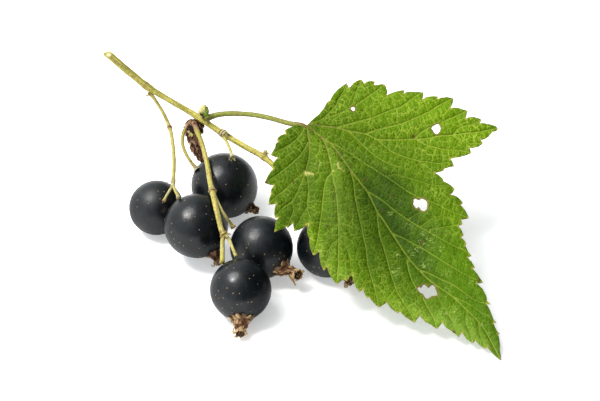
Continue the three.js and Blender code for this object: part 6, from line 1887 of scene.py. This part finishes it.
finish(make_main_stem(), "green_stem", "main_stem")
finish(make_left(), "strig", "left_strig")
finish(make_middle(), "strig", "middle_strig")
finish(make_curved(), "strig", "curved_pedicel")
finish(make_short(), "strig", "short_pedicel")
finish(make_petiole(), "petiole", "petiole")

# ============================================================ bud, scales, bract
def make_green_bud():
    b = Build()
    A = np.array(GREEN_BUD_LINE)
    core = A.copy()
    core[:, 3] *= 0.86
    tube(b, core, sides=24, step=0.09, rough=0.06, ribs=0.05, seed=8.1, green=lambda s, L, P: smooth(0.10, 0.40, P[:, 0] - A[1][0]) * smooth(A[2][2] + 0.2, A[1][2], P[:, 2]) * 0.8, brown=near([(0, 0.9, 0.35)]), dark=0.0, pith=0.0)
    ax = A[-1, :3] - A[0, :3]
    L = np.linalg.norm(ax)
    ax /= L
    base = A[0, :3]
    # overlapping bud scales: a broad pale dry one over the top, green ones to the right, dark stubs at the foot
    def scale_(side, h, w, k, lean=0.16, fat=1.0, **kw):
        side = np.array(side, float)
        side -= side @ ax * ax
        side /= np.linalg.norm(side)
        pts = [base + side * 0.42 * fat, base + ax * h * L * 0.33 + side * 0.80 * fat, base + ax * h * L * 0.70 + side * 0.72 * fat, base + ax * h * L * 0.98 + side * lean]
        ribbon(b, pts, lambda t: w * math.sin(math.pi * min(1, 0.22 + t * 0.74)), thick=0.09, step=0.09, across=9, curl=1.0, up=-side, wave=0.05, seed=31 + k, jag=0.15, **kw)
    scale_((-0.9, -0.5, 0), 1.08, 1.50, 0, lean=0.05, fat=1.12, brown=lambda t, x: 0.2 * (t > 0.93), green=0.0, dark=0.0, pith=lambda t, x: 0.25 * (np.abs(x) > 0.6))
    scale_((-0.45, -0.88, 0), 1.08, 1.40, 5, lean=0.00, fat=1.00, brown=0.0, green=0.0, dark=0.0, pith=0.0)
    scale_((-1.0, -0.15, -0.4), 0.62, 1.25, 12, lean=0.80, fat=1.42, brown=0.0, green=0.0, dark=0.0, pith=0.50)
    scale_((0.50, -0.88, 0), 0.62, 1.25, 1, lean=0.62, fat=1.34, brown=lambda t, x: 0.4 * (np.abs(x) > 0.92), green=1.0, dark=lambda t, x: 0.9 * smooth(0.12, 0.02, t), pith=0.0)
    scale_((0.80, -0.60, 0), 0.92, 1.30, 2, lean=0.30, fat=1.16, brown=lambda t, x: 0.5 * smooth(0.25, 0, t) + 0.8 * (t > 0.90), green=0.95, dark=lambda t, x: 0.6 * (t > 0.95), pith=0.0)
    scale_((0.9, 0.6, 0), 0.92, 1.20, 3, brown=lambda t, x: 0.7 * (np.abs(x) > 0.8), green=0.7, dark=0.0, pith=0.0)
    scale_((-0.4, 0.9, 0), 1.02, 1.25, 4, brown=lambda t, x: 0.4 * smooth(0.3, 0, t), green=0.15, dark=0.0, pith=0.0)
    for k, (sx, sy, h) in enumerate([(-0.45, -0.9, 0.34), (0.1, -1.0, 0.26), (0.8, -0.55, 0.34), (0.7, 0.7, 0.28), (-0.8, 0.5, 0.3)]):
        scale_((sx, sy, 0), h, 0.85, 6 + k, lean=0.80, brown=0.95, green=0.0, dark=lambda t, x: 0.75 * (np.abs(x) < 0.8), pith=0.0)
    for at_, way in (((-0.30, -0.98, 0.74), (-0.15, 0.1, 0.9)), ((-0.14, -1.06, 0.52), (0.1, 0.1, 0.9)), ((0.04, -1.10, 0.20), (0.2, 0.1, 0.9)), ((1.00, -0.42, 0.22), (0.35, 0.1, 0.9))):
        flake(b, base + np.array(at_), way, (at_[0], -0.8, 0.3), 0.44, 0.50, 77 + at_[0], brown=0.6, dark=0.85)
    return b.object("green_bud_visual", [MAT_BUD])


def make_scales():
    b = Build()
    A = np.array(SCALES_LINE)
    core = A.copy()
    core[:, 3] *= 0.62
    tube(b, core, sides=20, step=0.12, rough=0.16, ribs=0.10, seed=9.2, dark=lambda s, L, P: 0.5 * (nz(P, 1.5, 3) > 0), pale=0.0)
    r = rng(17)
    for k in range(22):
        t = r.uniform(0.0, 0.85)
        c = np.array([np.interp(t * 3, range(4), A[:, i]) for i in range(4)])
        a = r.uniform(0, 2 * math.pi)
        d = A[min(3, int(t * 3) + 1), :3] - A[int(t * 3), :3]
        d /= np.linalg.norm(d)
        s1 = np.cross(d, (0.2, 0.3, 0.93))
        s1 /= np.linalg.norm(s1)
        s2 = np.cross(d, s1)
        o = math.cos(a) * s1 + math.sin(a) * s2
        q = c[:3]
        rad = c[3] * (1 + 0.30 * abs(o[0]))
        ln = r.uniform(0.8, 1.5)
        flare = r.uniform(0.8, 1.45)
        p = [q + o * rad * 0.35 - d * 0.4 * ln, q + o * rad * 0.85 - d * 0.05, q + o * rad * r.uniform(0.9, 1.1) + d * 0.5 * ln, q + o * rad * flare + d * 0.95 * ln]
        ribbon(b, p, lambda t, w=r.uniform(0.9, 1.5): w * math.sin(math.pi * min(1, 0.22 + t * 0.74)), thick=0.09, step=0.11, curl=r.uniform(0.5, 1.3), up=-o,
               wave=0.16, seed=40 + k, jag=0.5, twist=r.uniform(-0.5, 0.5), dark=lambda t, x, k=k: np.where(np.abs(x) > 0.72, 0.0, 0.75 if k % 2 else 0.3), pale=lambda t, x, k=k: (np.abs(x) > 0.72) * (1.0 if k % 3 == 0 else 0.45))
    # the torn lobes that stand out on either side of the stalks
    for k, (line, w, lift) in enumerate(SCALE_LOBES):
        ribbon(b, line, lambda t, w=w: w * math.sin(math.pi * min(1, 0.34 + t * 0.60)), thick=0.10, step=0.10, across=9, curl=0.55, up=(0, -0.5, 0.85), wave=0.20, seed=70 + k, jag=0.7, twist=0.25 * (-1) ** k,
               dark=lambda t, x, k=k: np.where(np.abs(x) > 0.62, 0.0, 0.75 if k % 2 else 0.40) * (t < 0.86), pale=lambda t, x, k=k, z=lift: np.maximum((np.abs(x) > 0.62) * z, (t > 0.86) * z))
    # paler and fresher bits caught between the scales, and dark strips of painted shade for the gap above them
    for k, (line, w, cream, fresh, dark) in enumerate(SCALE_BITS):
        ribbon(b, line, lambda t, w=w: w * math.sin(math.pi * min(1, 0.25 + t * 0.60)), thick=0.10, step=0.09, across=7, curl=0.5, up=(0, -0.7, 0.7), wave=0.08, seed=90 + k, jag=0.4,
               dark=dark, pale=0.0, cream=cream, fresh=fresh)
    return b.object("bud_scales_visual", [MAT_SCALE])


def make_bract():
    b = Build()
    A = np.array(BRACT_LINE)
    A = A.copy()
    A[:, 0] += [0.1, 0.18, 0.10, 0.0, 0.0]
    wid = lambda t: 2 * np.interp(t, np.linspace(0, 1, len(A)), A[:, 3])
    look = (0.25, -0.70, 0.66)
    ribbon(b, A[:, :3], lambda t: wid(t) * 1.26, thick=0.16, step=0.11, across=21, curl=1.05, up=look, wave=0.34, seed=61, jag=0.45,
           dark=lambda t, x: np.clip(0.35 + 0.55 * np.sin(x * 7 + t * 6), 0, 1) * (np.abs(x) < 0.85), pale=lambda t, x: 0.8 * (np.abs(x) > 0.85))
    B2 = A[:, :3] + np.array([0.22, 0.12, -0.30])
    ribbon(b, B2, lambda t: wid(t) * 1.12, thick=0.14, step=0.11, across=19, curl=-0.9, up=look, wave=0.34, seed=67, jag=0.5,
           dark=lambda t, x: np.clip(0.5 + 0.5 * np.sin(x * 5 - t * 9), 0, 1), pale=lambda t, x: 0.5 * (np.abs(x) > 0.8))
    B3 = A[1:4, :3] + np.array([-0.30, 0.0, 0.25])
    ribbon(b, B3, lambda t: 1.15 * math.sin(math.pi * (0.12 + 0.76 * t)), thick=0.12, step=0.11, across=11, curl=0.8, up=look, wave=0.26, seed=72, jag=0.6, twist=0.5,
           dark=lambda t, x: 0.4 * (np.sin(x * 6 + t * 12) > 0), pale=lambda t, x: 0.85 * (np.abs(x) > 0.7))
    return b.object("dried_bract_visual", [MAT_SCALE])


finish(make_green_bud(), "bud", "green_bud")
finish(make_scales(), "dry_scale", "bud_scales")
finish(make_bract(), "dry_scale", "dried_bract")

# ============================================================ studio
def make_floor():
    me = bpy.data.meshes.new("floor")
    s = 3.0
    me.from_pydata([(-s, -s, -0.00002), (s, -s, -0.00002), (s, s, -0.00002), (-s, s, -0.00002)], [], [(0, 1, 2, 3)])
    ob = bpy.data.objects.new("floor", me)
    bpy.context.scene.collection.objects.link(ob)
    m = Mat("floor_white").set(Roughness=0.9)
    m.s.inputs["Specular IOR Level"].default_value = 0.1
    n = m.noise(m.coords(), 40, 2.0, 0.5)
    m.color(m.mix(m.ramp(n, 0.3, 0.7, 0.0, 1.0), (0.88, 0.88, 0.89), (0.90, 0.90, 0.905)))
    m.s.inputs["Emission Color"].default_value = (0.975, 0.990, 1.0, 1.0)
    # the paper is lit evenly from below
    m.s.inputs["Emission Strength"].default_value = 0.40
    me.materials.append(m.m)


make_floor()


def area_light(name, direction, distance, size, power, target=(0, 0, 0.005), color=(1, 1, 1)):
    l = bpy.data.lights.new(name, "AREA")
    l.shape = "DISK"
    l.size = size
    l.energy = power
    l.color = color
    ob = bpy.data.objects.new(name, l)
    d = Vector(direction).normalized()
    ob.location = Vector(target) + d * distance
    ob.rotation_euler = d.to_track_quat("Z", "Y").to_euler()
    bpy.context.scene.collection.objects.link(ob)
    return ob


area_light("softbox", (-0.42, 0.07, 0.905), 0.60, 0.38, 2.62)
area_light("window", (-0.48, -0.107, 0.871), 0.60, 0.110, 1.55, color=(1.0, 0.975, 0.93))

world = bpy.data.worlds.new("studio")
world.use_nodes = True
wt = world.node_tree
wt.nodes.clear()
wo = wt.nodes.new("ShaderNodeOutputWorld")
bg = wt.nodes.new("ShaderNodeBackground")
tc = wt.nodes.new("ShaderNodeTexCoord")
dot = wt.nodes.new("ShaderNodeVectorMath")
dot.operation = "DOT_PRODUCT"
dot.inputs[1].default_value = (-0.90, 0.10, 0.42)      # the room is bright to the left and above
mr = wt.nodes.new("ShaderNodeMapRange")
mr.interpolation_type = "SMOOTHSTEP"
mr.inputs["From Min"].default_value = -0.3
mr.inputs["From Max"].default_value = 0.9
mr.inputs["To Min"].default_value = 0.14
mr.inputs["To Max"].default_value = 1.22
wt.links.new(tc.outputs["Generated"], dot.inputs[0])
wt.links.new(dot.outputs["Value"], mr.inputs["Value"])
wt.links.new(mr.outputs[0], bg.inputs["Strength"])
bg.inputs["Color"].default_value = (0.97, 0.985, 1.0, 1.0)
wt.links.new(bg.outputs[0], wo.inputs[0])
bpy.context.scene.world = world

cam_data = bpy.data.cameras.new("camera")
cam_data.lens = CAMERA_LENS
cam_data.sensor_width = 36.0
cam_data.clip_start = 0.01
cam = bpy.data.objects.new("camera", cam_data)
cam.location = [c * MM for c in CAMERA_POS]
cam.rotation_euler = (math.radians(CAMERA_TILT), 0.0, 0.0)
bpy.context.scene.collection.objects.link(cam)
bpy.context.scene.camera = cam
bpy.context.scene.view_settings.view_transform = "Standard"
bpy.context.scene.view_settings.look = "None"
bpy.context.scene.view_settings.exposure = 0.0
